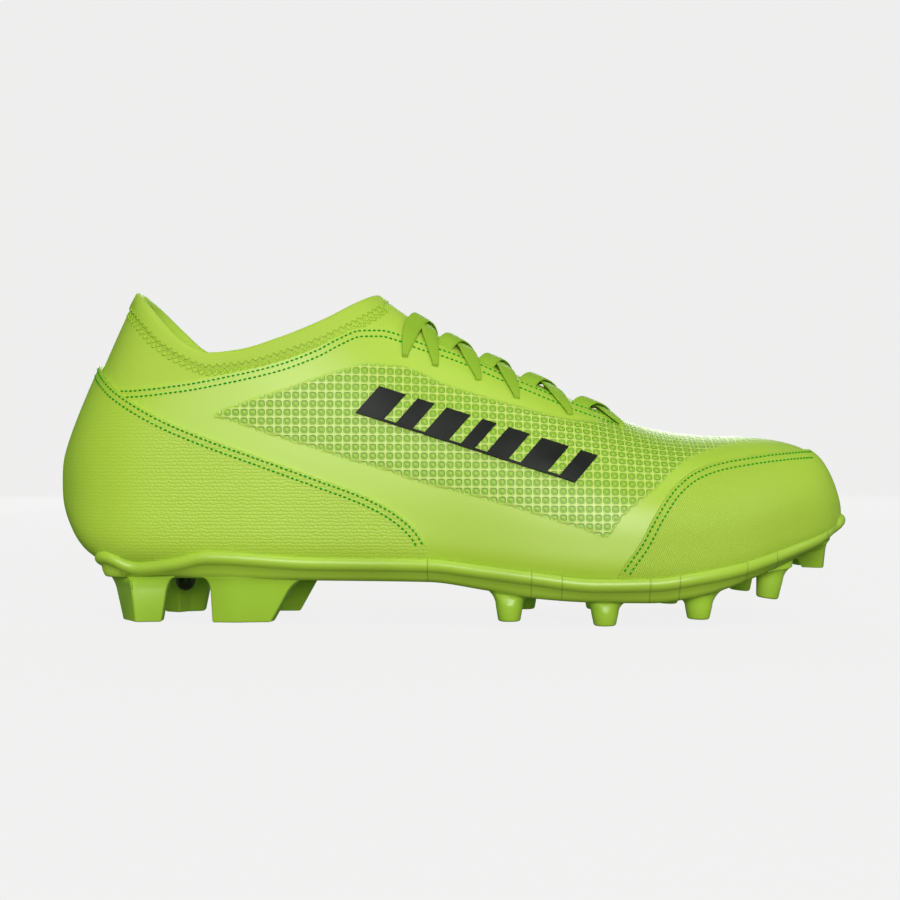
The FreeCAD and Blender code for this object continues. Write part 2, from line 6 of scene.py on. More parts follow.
# %% Load the frame
import bisect
import math
import bpy
import bmesh
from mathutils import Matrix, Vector


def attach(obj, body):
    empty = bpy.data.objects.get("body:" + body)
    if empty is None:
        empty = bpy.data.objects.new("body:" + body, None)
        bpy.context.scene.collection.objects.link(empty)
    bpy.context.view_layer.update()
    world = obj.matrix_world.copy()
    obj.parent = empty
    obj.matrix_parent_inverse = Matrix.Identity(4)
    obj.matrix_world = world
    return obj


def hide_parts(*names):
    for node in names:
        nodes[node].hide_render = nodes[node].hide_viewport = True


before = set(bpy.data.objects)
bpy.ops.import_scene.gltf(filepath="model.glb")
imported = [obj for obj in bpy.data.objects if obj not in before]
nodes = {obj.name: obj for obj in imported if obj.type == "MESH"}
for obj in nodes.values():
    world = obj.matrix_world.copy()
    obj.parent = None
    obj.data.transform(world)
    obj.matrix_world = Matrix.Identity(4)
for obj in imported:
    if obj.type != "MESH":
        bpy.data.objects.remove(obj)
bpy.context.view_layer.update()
bpy.ops.object.select_all(action="DESELECT")
MM = 0.001

# %% [markdown]
# ## Camera
# The boot is seen from its outer side with the lens level, from far enough away that the toe and
# the heel are hardly foreshortened.

# %% Camera
bpy.ops.object.camera_add(location=(-1.5 * MM, -0.69, 62.3 * MM), rotation=(math.pi / 2, 0, 0))
camera = bpy.context.object
camera.data.lens = 73.8
camera.data.clip_start = 0.05
bpy.context.scene.camera = camera
print("camera at", tuple(round(v, 4) for v in camera.location))

# %% [markdown]
# ## Studio
# A pale floor that curves up into a pale wall leaves no horizon. It could be two planes; one round
# bowl is better, because it has no line and stands behind the boot whichever way one looks. It is
# kept from bouncing light on the boot, as black flags would, so that the undersides stay deep.

# %% Floor and wall
def keep_only(obj):
    """Leaves one object selected and active."""
    bpy.ops.object.select_all(action="DESELECT")
    obj.select_set(True)
    bpy.context.view_layer.objects.active = obj
    return obj


def in_edit(obj, *steps):
    """Enters edit mode with everything selected, runs the steps and leaves."""
    keep_only(obj)
    bpy.ops.object.mode_set(mode="EDIT")
    bpy.ops.mesh.select_all(action="SELECT")
    for step in steps:
        step()
    bpy.ops.object.mode_set(mode="OBJECT")
    return obj


def apply_all(obj):
    """Applies every modifier in order."""
    keep_only(obj)
    for modifier in list(obj.modifiers):
        bpy.ops.object.modifier_apply(modifier=modifier.name)
    return obj


bpy.ops.mesh.primitive_circle_add(vertices=96, radius=5.0, fill_type="NGON")
floor = bpy.context.object
floor.name = "studio_floor"


def raise_wall():
    bpy.ops.mesh.select_mode(type="EDGE")
    bpy.ops.mesh.extrude_edges_move(TRANSFORM_OT_translate={"value": (0, 0, 6.0)})
    bpy.ops.mesh.select_all(action="DESELECT")
    mesh = bmesh.from_edit_mesh(floor.data)
    for edge in mesh.edges:
        edge.select = all(v.co.z < 0.01 for v in edge.verts)
    mesh.select_flush_mode()
    bpy.ops.mesh.bevel(offset=2.0, segments=20)


in_edit(floor, raise_wall)
keep_only(floor)
bpy.ops.object.shade_smooth()
floor.visible_diffuse = floor.visible_glossy = False
print("floor faces", len(floor.data.polygons))

# %% Lamps
def lamp(name, place, aim, width, height, watts, tint=(1, 1, 1)):
    """A soft rectangular lamp that points at a place."""
    bpy.ops.object.light_add(type="AREA", location=place)
    light = bpy.context.object
    light.name = name
    light.data.shape = "RECTANGLE"
    light.data.size, light.data.size_y = width, height
    light.data.energy = watts
    light.data.color = tint
    light.rotation_euler = (Vector(aim) - Vector(place)).to_track_quat("-Z", "Y").to_euler()
    return light


lamp("lamp_front", (0.12, -1.68, 0.46), (0, 0, 0.05), 1.0, 0.7, 20.5)
lamp("lamp_top", (0.05, -0.5, 1.5), (0, 0, 0.05), 1.3, 0.9, 4.0)
lamp("lamp_back", (-0.1, 1.7, 0.6), (0, 0, 0.05), 1.1, 0.8, 12.0)
lamp("lamp_ends", (1.7, -0.3, 0.6), (0.05, 0, 0.06), 0.7, 0.7, 2.5)
world = bpy.data.worlds.new("studio_air")
bpy.context.scene.world = world
world.use_nodes = True
air = world.node_tree
where = air.nodes.new("ShaderNodeTexCoord")
axes = air.nodes.new("ShaderNodeSeparateXYZ")
fade = air.nodes.new("ShaderNodeMapRange")
for socket, value in zip(fade.inputs[1:5], (-0.7, 0.4, 0.08, 0.33)):
    socket.default_value = value
air.links.new(where.outputs["Generated"], axes.inputs[0])
air.links.new(axes.outputs["Z"], fade.inputs[0])
air.links.new(fade.outputs[0], air.nodes["Background"].inputs["Strength"])
air.nodes["Background"].inputs["Color"].default_value = (0.62, 1.0, 0.34, 1)
bpy.context.scene.view_settings.view_transform = "Standard"

# %% [markdown]
# ## A small language for finishes
# Each finish is a node graph. Writing `ridge * 0.5 + grain` is easier to read than wiring Math nodes,
# so one class wraps a socket and turns arithmetic into nodes. One more call adds any other node.

# %% Shader arithmetic
class Value:
    """A number inside a finish that can be added, multiplied and powered like a Python one."""

    def __init__(self, finish, socket):
        self.finish, self.socket = finish, socket

    def maths(self, operation, first, second=0.0):
        return self.finish.add("ShaderNodeMath", {"operation": operation}, {0: first, 1: second})

    def __add__(self, other):
        return self.maths("ADD", self, other)

    def __sub__(self, other):
        return self.maths("SUBTRACT", self, other)

    def __mul__(self, other):
        return self.maths("MULTIPLY", self, other)

    def __truediv__(self, other):
        return self.maths("DIVIDE", self, other)

    def __rsub__(self, other):
        return self.maths("SUBTRACT", other, self)

    def __pow__(self, other):
        return self.maths("POWER", self, other)

    __radd__ = __add__
    __rmul__ = __mul__

    def apply(self, operation, other=0.0):
        """Any other Math operation, such as ABSOLUTE or MAXIMUM."""
        return self.maths(operation, self, other)

    def wave(self):
        """0 in the middle of every unit and 1 where one unit meets the next."""
        return (self.apply("FRACT") - 0.5).apply("ABSOLUTE") * 2

    def ramp(self, low, high, to_low=0.0, to_high=1.0):
        """Smooth step from one value to another."""
        settings = {"interpolation_type": "SMOOTHSTEP"}
        sockets = {0: self, 1: low, 2: high, 3: to_low, 4: to_high}
        return self.finish.add("ShaderNodeMapRange", settings, sockets)


class Finish:
    """One material: a Principled shader and the nodes that feed it."""

    def __init__(self, name, colour, roughness, **constants):
        self.material = bpy.data.materials.new(name)
        self.material.use_nodes = True
        self.tree = self.material.node_tree
        self.shader = self.tree.nodes["Principled BSDF"]
        self.shader.inputs["Base Color"].default_value = (*colour, 1)
        self.shader.inputs["Roughness"].default_value = roughness
        for socket, value in constants.items():
            self.shader.inputs[socket.replace("_", " ")].default_value = value
        self.material.diffuse_color = (*colour, 1)

    def link(self, socket, value):
        if isinstance(value, Value):
            self.tree.links.new(value.socket, socket)
        elif isinstance(value, tuple) and len(value) == 3 and socket.type == "RGBA":
            socket.default_value = (*value, 1)
        else:
            socket.default_value = value

    def add(self, kind, settings=None, sockets=None, output=0):
        """Any node: its settings first, then values or links for its sockets."""
        node = self.tree.nodes.new(kind)
        for name, value in (settings or {}).items():
            setattr(node, name, value)
        for key, value in (sockets or {}).items():
            self.link(node.inputs[key], value)
        return Value(self, node.outputs[output])

    def place(self):
        return self.add("ShaderNodeTexCoord", output="Object")

    def wrap(self):
        """The piece's own UV map, in metres along and around the boot."""
        return self.add("ShaderNodeUVMap", {"uv_map": "wrap"})

    def parts(self, vector):
        return [self.add("ShaderNodeSeparateXYZ", None, {0: vector}, axis) for axis in ("X", "Y", "Z")]

    def join(self, x, y, z=0.0):
        return self.add("ShaderNodeCombineXYZ", None, {0: x, 1: y, 2: z})

    def painted(self, name):
        """A value painted on the piece's points."""
        return self.add("ShaderNodeAttribute", {"attribute_name": name}, output="Fac")

    def noise(self, vector, scale, detail=3.0, roughness=0.5):
        return self.add("ShaderNodeTexNoise", None,
                        {"Vector": vector, "Scale": scale, "Detail": detail, "Roughness": roughness}, "Fac")

    def mix(self, share, first, second):
        """Blend of two colours."""
        return self.add("ShaderNodeMix", {"data_type": "RGBA"}, {0: share, 6: first, 7: second}, 2)

    def bump(self, height, distance, strength=1.0, under=None):
        sockets = {"Height": height, "Distance": distance, "Strength": strength}
        if under is not None:
            sockets["Normal"] = under
        return self.add("ShaderNodeBump", None, sockets)

    def feed(self, **links):
        for name, value in links.items():
            self.link(self.shader.inputs[name.replace("_", " ")], value)
        return self


def dress(obj, finish):
    """Gives a piece its finish in place of what it has."""
    obj.data.materials.clear()
    obj.data.materials.append(finish.material)
    return obj


def shade(colour, share):
    """A darker tone of a colour."""
    return tuple(a * share for a in colour)


pale = Finish("studio_paper", (0.045, 0.045, 0.045), 0.9, Emission_Color=(1, 1, 1, 1),
              Emission_Strength=0.845, Specular_IOR_Level=0.0)
pale.feed(Roughness=pale.noise(pale.place(), 3.0).ramp(0.0, 1.0, 0.85, 0.95))
dress(floor, pale)
print("finish helper ready")

# %% [markdown]
# ## The last
# A boot's upper is pulled over a last, a solid foot form, and every layer follows it. The form is
# given by cross-sections from heel to toe: lowest height, height of the widest point, highest point,
# and the reach to the outer and inner side. A table of sections is how last makers keep the shape,
# and all layers can then be laid at their own distance from it.

# %% Sections of the last, in millimetres
SECTION_X = [-145, -143.5, -140, -134, -126, -115, -95, -70, -48, -29, -8, 12, 32, 52, 72, 92, 110, 124,
             134, 140, 143.3, 144.8]
SECTIONS = {
    "floor": [48.5, 41.5, 34.2, 26.0, 21.3, 19.6, 19.4, 19, 18.8, 18.5, 17.5, 15.2, 12.6, 11.4, 11.4, 14,
              19.6, 24.8, 29, 31.6, 33.4, 35.6],
    "girth": [53, 52, 51, 49, 48, 46, 44, 43, 42, 41, 39, 36, 33, 31, 30, 31, 34, 37, 38, 38, 38, 37.5],
    "crown": [56, 62, 71.5, 86, 103.8, 127.6, 148, 150, 137, 121, 106.5, 96, 87, 78, 70.3, 67.7, 67.2, 65.4,
              61.6, 54, 46, 40.5],
    "outer": [3, 9.5, 16.5, 24, 29.5, 33, 34.5, 35.5, 36, 37, 39, 42, 44.8, 46.2, 45.5, 42.3, 36, 27.5,
              18, 9.5, 2.5, -2.5],
    "inner": [3, 9.5, 16.5, 24, 29.5, 32.5, 33.5, 33, 31.5, 30.5, 31.5, 34, 37.5, 41.5, 45, 46, 43, 36.5,
              29.5, 23, 17, 11.5],
}
RIM_X = [-132.8, -127, -114, -101, -88, -50, -10, 10, 26, 50, 70, 86, 101, 112, 122, 134, 141, 145.9]
RIM = {
    "under": [17, 16.6, 16.5, 16.4, 16.3, 15.6, 15.3, 12.6, 10, 8.5, 8.3, 10.2, 13.8, 17.6, 21, 25.6, 28.8,
              32.5],
    "lip": [24.6, 26.4, 22.4, 23.9, 26.4, 24.4, 24.0, 21.8, 19.8, 17.3, 17.6, 19.7, 22.4, 25.5, 28.7, 32.4,
            35.8, 38.4],
}


def curve_at(xs, values, x):
    """Smooth curve through the given places that never overshoots them."""
    x = min(max(x, xs[0]), xs[-1])
    i = min(len(xs) - 2, max(0, bisect.bisect_right(xs, x) - 1))

    def chord(k):
        return (values[k + 1] - values[k]) / (xs[k + 1] - xs[k])

    def slope(k):
        if k == 0 or k == len(xs) - 1:
            return chord(min(k, len(xs) - 2))
        a, b = chord(k - 1), chord(k)
        return 0.0 if a * b <= 0 else 2 * a * b / (a + b)

    step = xs[i + 1] - xs[i]
    t = (x - xs[i]) / step
    return ((2 * t**3 - 3 * t**2 + 1) * values[i] + (t**3 - 2 * t**2 + t) * step * slope(i)
            + (3 * t**2 - 2 * t**3) * values[i + 1] + (t**3 - t**2) * step * slope(i + 1))


def along(points, x):
    """Height of an outline given as (x, z) points."""
    return curve_at([p[0] for p in points], [p[1] for p in points], x)


FAIRING = 9.0
FAIRED = {}


def section(field, x):
    """A measure of the last at x, faired over a few millimetres so that highlights run smoothly."""
    key = (field, round(x, 3))
    if key not in FAIRED:
        reach = max(0.0, min(FAIRING, (SECTION_X[-1] - abs(x)) * 0.45))
        weights = ((-1, 1), (-0.5, 3), (0, 4), (0.5, 3), (1, 1))
        FAIRED[key] = sum(w * curve_at(SECTION_X, SECTIONS[field], x + reach * k) for k, w in weights) / 12
    return FAIRED[key]


def rim(field, x):
    return curve_at(RIM_X, RIM[field], x)


print("last from", SECTION_X[0], "to", SECTION_X[-1], "mm")

# %% [markdown]
# ### Laying a point on the last
# Each section is a squared-off oval below its widest point and a rounder one above it. Going round
# it by angle puts points evenly enough to be spaced out afterwards by their distance.

# %% Points on the last
LATERAL, MEDIAL = -1, 1
LOW_POWER, HIGH_POWER = 5.0, 2.15
LAST_END = 144.4    # where sheets that go all the way end
LAST_POLE = 144.45  # a little further on, so that the last two stations stay apart
LAST_HALF = 145     # an offset also moves a point towards its end, by its share of this


def oval(x, offset):
    """Centre, half width, girth height, depth below, height above and the two powers of a section."""
    outer, inner = section("outer", x), section("inner", x)
    half, girth = (outer + inner) / 2, section("girth", x)
    low, high = girth - section("floor", x), section("crown", x) - girth
    end = min(1.0, half / 23)
    end = end * end * (3 - 2 * end)
    if abs(x) > LAST_END - 1:
        tip = math.sqrt(max(0.0004, 1 - (abs(x) - LAST_END + 1) ** 2))
        half, low, high = half * tip, low * tip, high * tip
    return ((inner - outer) / 2, half + offset * min(1, half / 20), girth, low + offset * min(1, low / 12),
            high + offset * min(1, high / 20), 2 + (LOW_POWER - 2) * end, 2 + (HIGH_POWER - 2) * end)


def on_last(side, x, angle, offset=0.0):
    """Point of the last in millimetres; the angle runs from -90 degrees below to 90 on top."""
    centre, half, girth, low, high, low_power, high_power = oval(x, offset)
    power, tall = (low_power, low) if angle < 0 else (high_power, high)
    c, s = abs(math.cos(angle)), abs(math.sin(angle))
    reach = ((c / half) ** power + (s / tall) ** power) ** (-1 / power)
    height = girth + math.copysign(reach * s, angle)
    return Vector((x * (1 + offset / LAST_HALF), centre + side * reach * c, height))


def angle_at(x, z, offset=0.0):
    """Angle at which a section reaches height z, up to its top or down to its bottom."""
    _, half, girth, low, high, low_power, high_power = oval(x, offset)
    power, tall = (low_power, low) if z < girth else (high_power, high)
    share = abs(z - girth) / tall
    if share >= 1:
        return math.copysign(math.pi / 2, z - girth)
    across = half * (1 - share**power) ** (1 / power)
    return math.atan2(z - girth, across)


def skin_point(side, x, z, offset=0.0):
    """Point of the last's side at (x, z) and the direction out of it."""
    angle = angle_at(x, z, offset)
    here = on_last(side, x, angle, offset)
    step = 0.02 if angle < 1.5 else -0.02
    round_way = (on_last(side, x, angle + step, offset) - here) * (1 if step > 0 else -1)
    ahead = on_last(side, x + 1.0, angle, offset) - on_last(side, x - 1.0, angle, offset)
    out = round_way.cross(ahead).normalized()
    if out.y * side < 0 and abs(out.y) > 0.2 or out.z < -0.9:
        out.negate()
    return here, out


print("widest point at the ball", [round(v, 1) for v in on_last(LATERAL, 60, 0.0)])

# %% [markdown]
# ### Laying a sheet on the last
# A grid primitive becomes a sheet: its columns are ribs from a lower line up to an upper line on
# the outer side and down again on the inner side. Where the upper line lies above the last, the
# two sides meet on the ridge and are merged. Because the ribs end exactly on the line, the cut edge
# of the piece is clean, which a boolean cut through a dense mesh would not give. Where the upper
# line lies below the ridge, the grid's middle row still spans the boot from one side to the other,
# which the real sheet doesn't: that row is still to be taken out.

# %% Sheets
def places(start, stop, step):
    """Stations from heel to toe, closer together where the ends curve away."""
    first, last = (math.asin(max(-1, min(1, x / LAST_POLE))) for x in (start, stop))
    count = max(2, math.ceil((last - first) * LAST_POLE / step))
    return [LAST_POLE * math.sin(first + (last - first) * k / count) for k in range(count + 1)]


def arc(side, x, start, stop, offset, parts=40):
    """Signed distance round a section between two angles."""
    line = [on_last(side, x, start + (stop - start) * k / parts, offset) for k in range(parts + 1)]
    return math.copysign(sum((b - a).length for a, b in zip(line, line[1:])), stop - start)


LEVEL = 40                      # height from which the distance up a rib is counted
FLOOR_EDGE = 1.2                # ribs start this far above the last's lowest height
CLOSE_HEEL, CLOSE_TOE = -102, 110
CLOSE_OVER = 22                 # towards both ends ribs reach the middle line below, over this length
FINE = 90                       # steps in which a rib is measured


def rib(side, x, low_z, high_z, offset, count):
    """Evenly spaced points up one side, with their distance from the level."""
    start = angle_at(x, max(low_z, section("floor", x) + FLOOR_EDGE), offset)
    stop = angle_at(x, high_z, offset)
    if start < 0:
        close = min(1.0, max(0.0, (CLOSE_HEEL - x) / CLOSE_OVER, (x - CLOSE_TOE) / CLOSE_OVER))
        start -= (start + math.pi / 2) * close
    stop = max(stop, start + 1e-4)
    fine = [on_last(side, x, start + (stop - start) * k / FINE, offset) for k in range(FINE + 1)]
    run = [0.0]
    for a, b in zip(fine, fine[1:]):
        run.append(run[-1] + (b - a).length)
    level = arc(side, x, start, angle_at(x, LEVEL, offset), offset)
    points, rise, k = [], [], 0
    for j in range(count + 1):
        want = run[-1] * j / count
        while k < FINE - 1 and run[k + 1] < want:
            k += 1
        gap = max(1e-9, run[k + 1] - run[k])
        points.append(fine[k].lerp(fine[k + 1], (want - run[k]) / gap))
        rise.append(want - level)
    return points, rise


def sheet(name, columns, stretch, paint=None):
    """A grid primitive moved onto columns of points; stretch holds each point's UV in metres."""
    wide, tall = len(columns), len(columns[0])
    bpy.ops.mesh.primitive_grid_add(x_subdivisions=wide - 1, y_subdivisions=tall - 1, size=0.1)
    obj = bpy.context.object
    obj.name = obj.data.name = name
    flat = [columns[i][j] for j in range(tall) for i in range(wide)]
    uv = [stretch[i][j] for j in range(tall) for i in range(wide)]
    for vertex, point in zip(obj.data.vertices, flat):
        vertex.co = point * MM
    layer = obj.data.uv_layers[0]
    layer.name = "wrap"
    for loop in obj.data.loops:
        layer.data[loop.index].uv = uv[loop.vertex_index]
    for key, rule in (paint or {}).items():
        values = obj.data.attributes.new(key, "FLOAT", "POINT")
        for index, point in enumerate(flat):
            values.data[index].value = rule(point)
    return obj


def close_up(obj, gap=0.02):
    """Merges points that meet and turns the faces outwards."""
    in_edit(obj, lambda: bpy.ops.mesh.remove_doubles(threshold=gap * MM),
            lambda: bpy.ops.mesh.normals_make_consistent(inside=False))
    middle = sum((v.co for v in obj.data.vertices), Vector()) / len(obj.data.vertices)
    out = sum(p.area * (p.center - middle).dot(p.normal) for p in obj.data.polygons)
    if out < 0:
        in_edit(obj, lambda: bpy.ops.mesh.flip_normals())
    return obj


def thicken(obj, thickness, smooth=40):
    """Gives a sheet its wall, inwards, and smooths its shading."""
    wall = obj.modifiers.new("wall", "SOLIDIFY")
    wall.thickness = thickness * MM
    wall.offset = -1
    wall.use_even_offset = True
    wall.use_quality_normals = True
    apply_all(obj)
    bpy.ops.object.shade_smooth_by_angle(angle=math.radians(smooth))
    return obj


def on_last_sheet(name, span, low, high, offset, thickness, step=1.6, count=44, paint=None):
    """A layer of the upper between two lines, laid at its distance from the last."""
    columns, stretch = [], []
    for x in places(*span, step):
        outer, outer_rise = rib(LATERAL, x, low(x), high(x), offset, count)
        inner, inner_rise = rib(MEDIAL, x, low(x), high(x), offset, count)
        columns.append(outer + inner[::-1])
        rises = [(x * MM, r * MM) for r in outer_rise] + [(x * MM + 1, r * MM) for r in inner_rise[::-1]]
        stretch.append(rises)
    obj = close_up(sheet(name, columns, stretch, paint))
    return thicken(obj, thickness) if thickness else obj


print("sheet maker ready")

# %% Outlines seen from the side
OVER_RIDGE = 200.0  # an upper line this high lies above the last everywhere
COLLAR = [(-118.5, 122.8), (-113, 117.8), (-104.5, 109.2), (-97, 102.4), (-88, 98.8), (-78, 99.8),
          (-63, 104.4), (-47, 111.2), (-36, 117.2), (-29.5, 120.2), (-27, 120.7)]
HEM = [(-121.2, 115.2), (-115.5, 109.5), (-107, 100.9), (-97, 94.6), (-88, 91.3), (-78, 92.1), (-61, 96.4),
       (-45, 102.8), (-34, 108.7), (-27.5, 113.1), (-25, 116.5), (-24.3, 119)]
THROAT = [(-138, 84.8), (-118, 84.4), (-98.6, 86.2), (-80.8, 89.4), (-63, 93.6), (-49.7, 98.7),
          (-41.3, 103.3), (-34, 106.2), (-26.5, 106.4), (-19, 104.6), (-10.8, 101.4), (-2.7, 99),
          (7.5, 95.2), (20.6, 89.4), (27, 86.9), (38.7, 82.1), (44.5, 79.8), (53, 77), (60, 75.2),
          (64.5, 76)]
HEEL_EDGE = [(-150, 100.8), (-132, 94.8), (-126.5, 89), (-120.5, 83.6), (-104.5, 74), (-90, 67.7), (-69, 60),
             (-47.5, 52.2), (-33, 46.8), (-23.5, 42.2), (-16, 36.8), (-10.8, 30.4), (-7.3, 18)]
TOE_EDGE = [(54.5, 10), (57.6, 19.3), (64.4, 29.5), (70.6, 40.8), (77.2, 49.6), (85.2, 55.2), (93.6, 58.1),
            (103.5, 59.9), (116, 61.5), (129, 62.5), (150, 63)]


def below_rim(x):
    """Where the upper disappears behind the plate's rim."""
    return rim("lip", x) - 3.5


def whole_depth(x):
    """A lower line below the last everywhere."""
    return 0.0


def throat_line(x):
    """The outer layer's edge beside collar and tongue; in front of them it closes over the ridge."""
    return along(THROAT, x) if x < 64.4 else OVER_RIDGE


print("outlines", len(COLLAR) + len(HEM) + len(THROAT) + len(HEEL_EDGE) + len(TOE_EDGE), "points")

# %% [markdown]
# ## Outer layer of the upper
# The upper is one piece of thin synthetic, pulled tight, with a field of small pressed cells from
# the ankle over the forefoot. The cells could be modelled one by one, but there are thousands; a
# painted mask says where the field lies and the finish raises the cells as bumps. Its colour also
# holds painted light: painted shade in the hollows round each cell's dome and painted highlight on
# the raised grid lines.

# %% Field of pressed cells
FIELD_TOP = [(-86, 74.4), (-79, 77.5), (-72, 80), (-61, 83.5), (-50, 87.5), (-39, 91), (-31, 93), (-21, 92.6),
             (-12, 90), (-5, 86.4), (4.5, 83.2), (18.6, 79), (33, 75), (42, 73), (50, 72.5), (58, 74),
             (66, 82), (145, 90)]
FIELD_START = -86
FIELD_LOW = [(-86, 74.4), (-80, 73.2), (-70.7, 70), (-56.6, 65.4), (-47, 62.6), (-36.5, 59), (-23.7, 55.4),
             (-11.7, 51.2), (3.4, 47.4), (15.4, 44.2), (28, 40.4), (36, 37.8), (46.9, 34.4), (53, 32.2),
             (58.8, 39.3), (64, 43.8), (69.7, 48), (78, 55.4), (84, 59.6), (98, 63.9), (116, 67), (145, 80)]


def in_field(point):
    """1 inside the field of pressed cells, easing to 0 over its edge."""
    x, z = point.x, point.z
    if x < FIELD_START:
        return 0.0
    inside = min(along(FIELD_TOP, x) - z, z - along(FIELD_LOW, x), (x - FIELD_START) * 0.4)
    return max(0.0, min(1.0, 0.5 + inside / 3.2))


upper = on_last_sheet("upper_skin", (-LAST_END, LAST_END), below_rim, throat_line, 0.0, 1.2, step=1.7,
                      count=64, paint={"field": in_field})
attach(upper, "boot")
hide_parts("upper_body")
print("upper_skin", len(upper.data.polygons), "faces")

# %% Satin synthetic with pressed cells
LIME = (0.52, 0.70, 0.07)
# Painted light on the pressed cells: the paler lime is painted highlight on the raised grid lines, the deeper
# green is painted shade in the hollows round each dome.
LIME_PAINTED_HIGHLIGHT = (0.62, 0.76, 0.16)
LIME_PAINTED_SHADE = (0.22, 0.49, 0.012)


def pressed_cells(finish, pitch_x=3.05, pitch_y=3.1):
    """Height of the cells and how far a point is from a cell's middle."""
    u, v, _ = finish.parts(finish.wrap())
    across = (u * (1000 / pitch_x)).wave()
    up = (v * (1000 / pitch_y)).wave()
    edge = (across**3 + up**3)**(1 / 3)
    wall = edge.ramp(0.62, 0.9)
    dome = edge.ramp(0.0, 0.6, 1.0, 0.0)
    return wall + dome * 0.75, wall, edge


satin = Finish("satin_synthetic", LIME, 0.4, Coat_Roughness=0.36, Specular_IOR_Level=0.45)
field = satin.painted("field").ramp(0.2, 0.8)
cells, walls, edge = pressed_cells(satin)
soft = satin.noise(satin.place(), 9.0, 2.0)
grain = satin.noise(satin.place(), 1400.0, 2.0)
tone = satin.mix(soft.ramp(0.35, 0.7), LIME, shade(LIME, 0.9))
# Painted shade and highlight: hollows take the deep green, grid lines the pale lime, domes plain lime.
cell_painted_light = satin.mix(walls, LIME_PAINTED_SHADE, LIME_PAINTED_HIGHLIGHT)
cell_painted_light = satin.mix(edge.ramp(0.1, 0.5, 1.0, 0.0) * 0.85, cell_painted_light, LIME)
satin.feed(Base_Color=satin.mix(field * 0.75, tone, cell_painted_light),
           Roughness=grain * 0.08 + 0.36,
           Coat_Weight=soft.ramp(0.3, 0.7, 0.25, 0.4))
fine = satin.bump(grain, 0.00004, 0.35)
satin.feed(Normal=satin.bump(cells * field, 0.0006, 0.9, fine))
dress(upper, satin)
print("satin_synthetic", len(satin.tree.nodes), "nodes")

# %% [markdown]
# ## Heel overlay and toe cap
# Both are thin textured films bonded over the outer layer, sewn along their edges. They are sheets
# of the same last, laid 0.8 mm further out, so they meet the upper exactly.

# %% Overlays
FILM_LIFT = FILM_THICK = 0.8
heel = on_last_sheet("heel_film", (-LAST_END, -7.6), below_rim, lambda x: along(HEEL_EDGE, x),
                     FILM_LIFT, FILM_THICK, step=1.5)
toe = on_last_sheet("toe_film", (57.0, LAST_END), below_rim, lambda x: along(TOE_EDGE, x),
                    FILM_LIFT, FILM_THICK, step=1.5)
for piece, node in ((heel, "heel_overlay"), (toe, "toe_cap")):
    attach(piece, "boot")
    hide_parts(node)
    print(piece.name, len(piece.data.polygons), "faces")

# %% Film finishes
film = Finish("waved_film", LIME, 0.42, Specular_IOR_Level=0.45)
u, v, _ = film.parts(film.wrap())
sway = film.noise(film.join(u * 420, v * 420), 1.0, 2.0)
rows = v * (1000 / 1.25) + sway * 1.3
row = rows.wave()
beads = (u * (1000 / 1.8) + rows.apply("FLOOR") * 0.5 + sway * 1.4).wave()
pebble = (1 - row**2.0) * (1 - beads**3 * 0.8)
x, _, _ = film.parts(film.place())
worn = x.ramp(-0.142, -0.095, 0.25, 1.0)
soft = film.noise(film.place(), 10.0, 2.0)
base = film.mix(soft.ramp(0.3, 0.7), LIME, shade(LIME, 0.92))
# Painted shade: the hollows between the pebbles are darker, less so towards the back of the heel, where the
# texture fades.
film.feed(Base_Color=film.mix(pebble.ramp(0.0, 0.6, 1.0, 0.0) * worn * 0.25, base, shade(LIME, 0.72)),
          Roughness=pebble.ramp(0.0, 1.0, 0.5, 0.42),
          Normal=film.bump(pebble * worn, 0.0002, 0.45))
dress(heel, film)

twill = Finish("twill_film", LIME, 0.4, Specular_IOR_Level=0.45)
u, v, _ = twill.parts(twill.wrap())
slant = ((u + v * 0.42) * (1000 / 0.72)).wave()
cross = ((u * 0.5 - v) * (1000 / 1.1)).wave()
thread = (1 - slant**2) * (1 - cross**4 * 0.5)
soft = twill.noise(twill.place(), 10.0, 2.0)
x, _, _ = twill.parts(twill.place())
worn = x.ramp(0.11, 0.14, 1.0, 0.35)
base = twill.mix(soft.ramp(0.3, 0.7), LIME, shade(LIME, 0.93))
# Painted shade: the grooves between the slanted threads are darker, less so at the toe's tip, where the
# texture fades.
twill.feed(Base_Color=twill.mix(thread.ramp(0.0, 0.6, 1.0, 0.0) * worn * 0.4, base, shade(LIME, 0.66)),
           Roughness=thread.ramp(0.0, 1.0, 0.5, 0.4),
           Normal=twill.bump(thread * worn, 0.0002, 0.8))
dress(toe, twill)
print("films", len(film.tree.nodes), len(twill.tree.nodes), "nodes")

# %% [markdown]
# ## Knitted collar, hem and lining
# A stretch sleeve rises out of the upper round the ankle and over the instep, and ends in a folded
# hem. Inside, a lining runs all round the foot. They are sheets too: the sleeve lies a little below
# the outer layer's face, the hem is rounder, and the lining makes the inner wall.

# %% Sleeve, hem and lining
HEM_BACK, HEM_FRONT = -121.2, -24.3
COLLAR_BACK, COLLAR_FRONT = -118.5, -27


def throat_low(x):
    """The sleeve starts a little below the outer layer's edge."""
    return along(THROAT, x) - 2.0


def hem_line(x):
    return along(HEM, x) if x > HEM_BACK else OVER_RIDGE


def collar_line(x):
    return along(COLLAR, x) if x > COLLAR_BACK else OVER_RIDGE


sleeve = on_last_sheet("knit_sleeve", (-137.6, 63.5), throat_low,
                       lambda x: hem_line(x) if x < HEM_FRONT else OVER_RIDGE,
                       -0.6, 2.0, step=1.6, count=36)
lining = on_last_sheet("inner_lining", (-LAST_END, LAST_END), whole_depth,
                       lambda x: hem_line(x) - 0.5 if x < -25.5 else OVER_RIDGE,
                       -2.85, 1.4, step=2.4, count=52)
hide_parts("knit_collar")
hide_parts("lining")


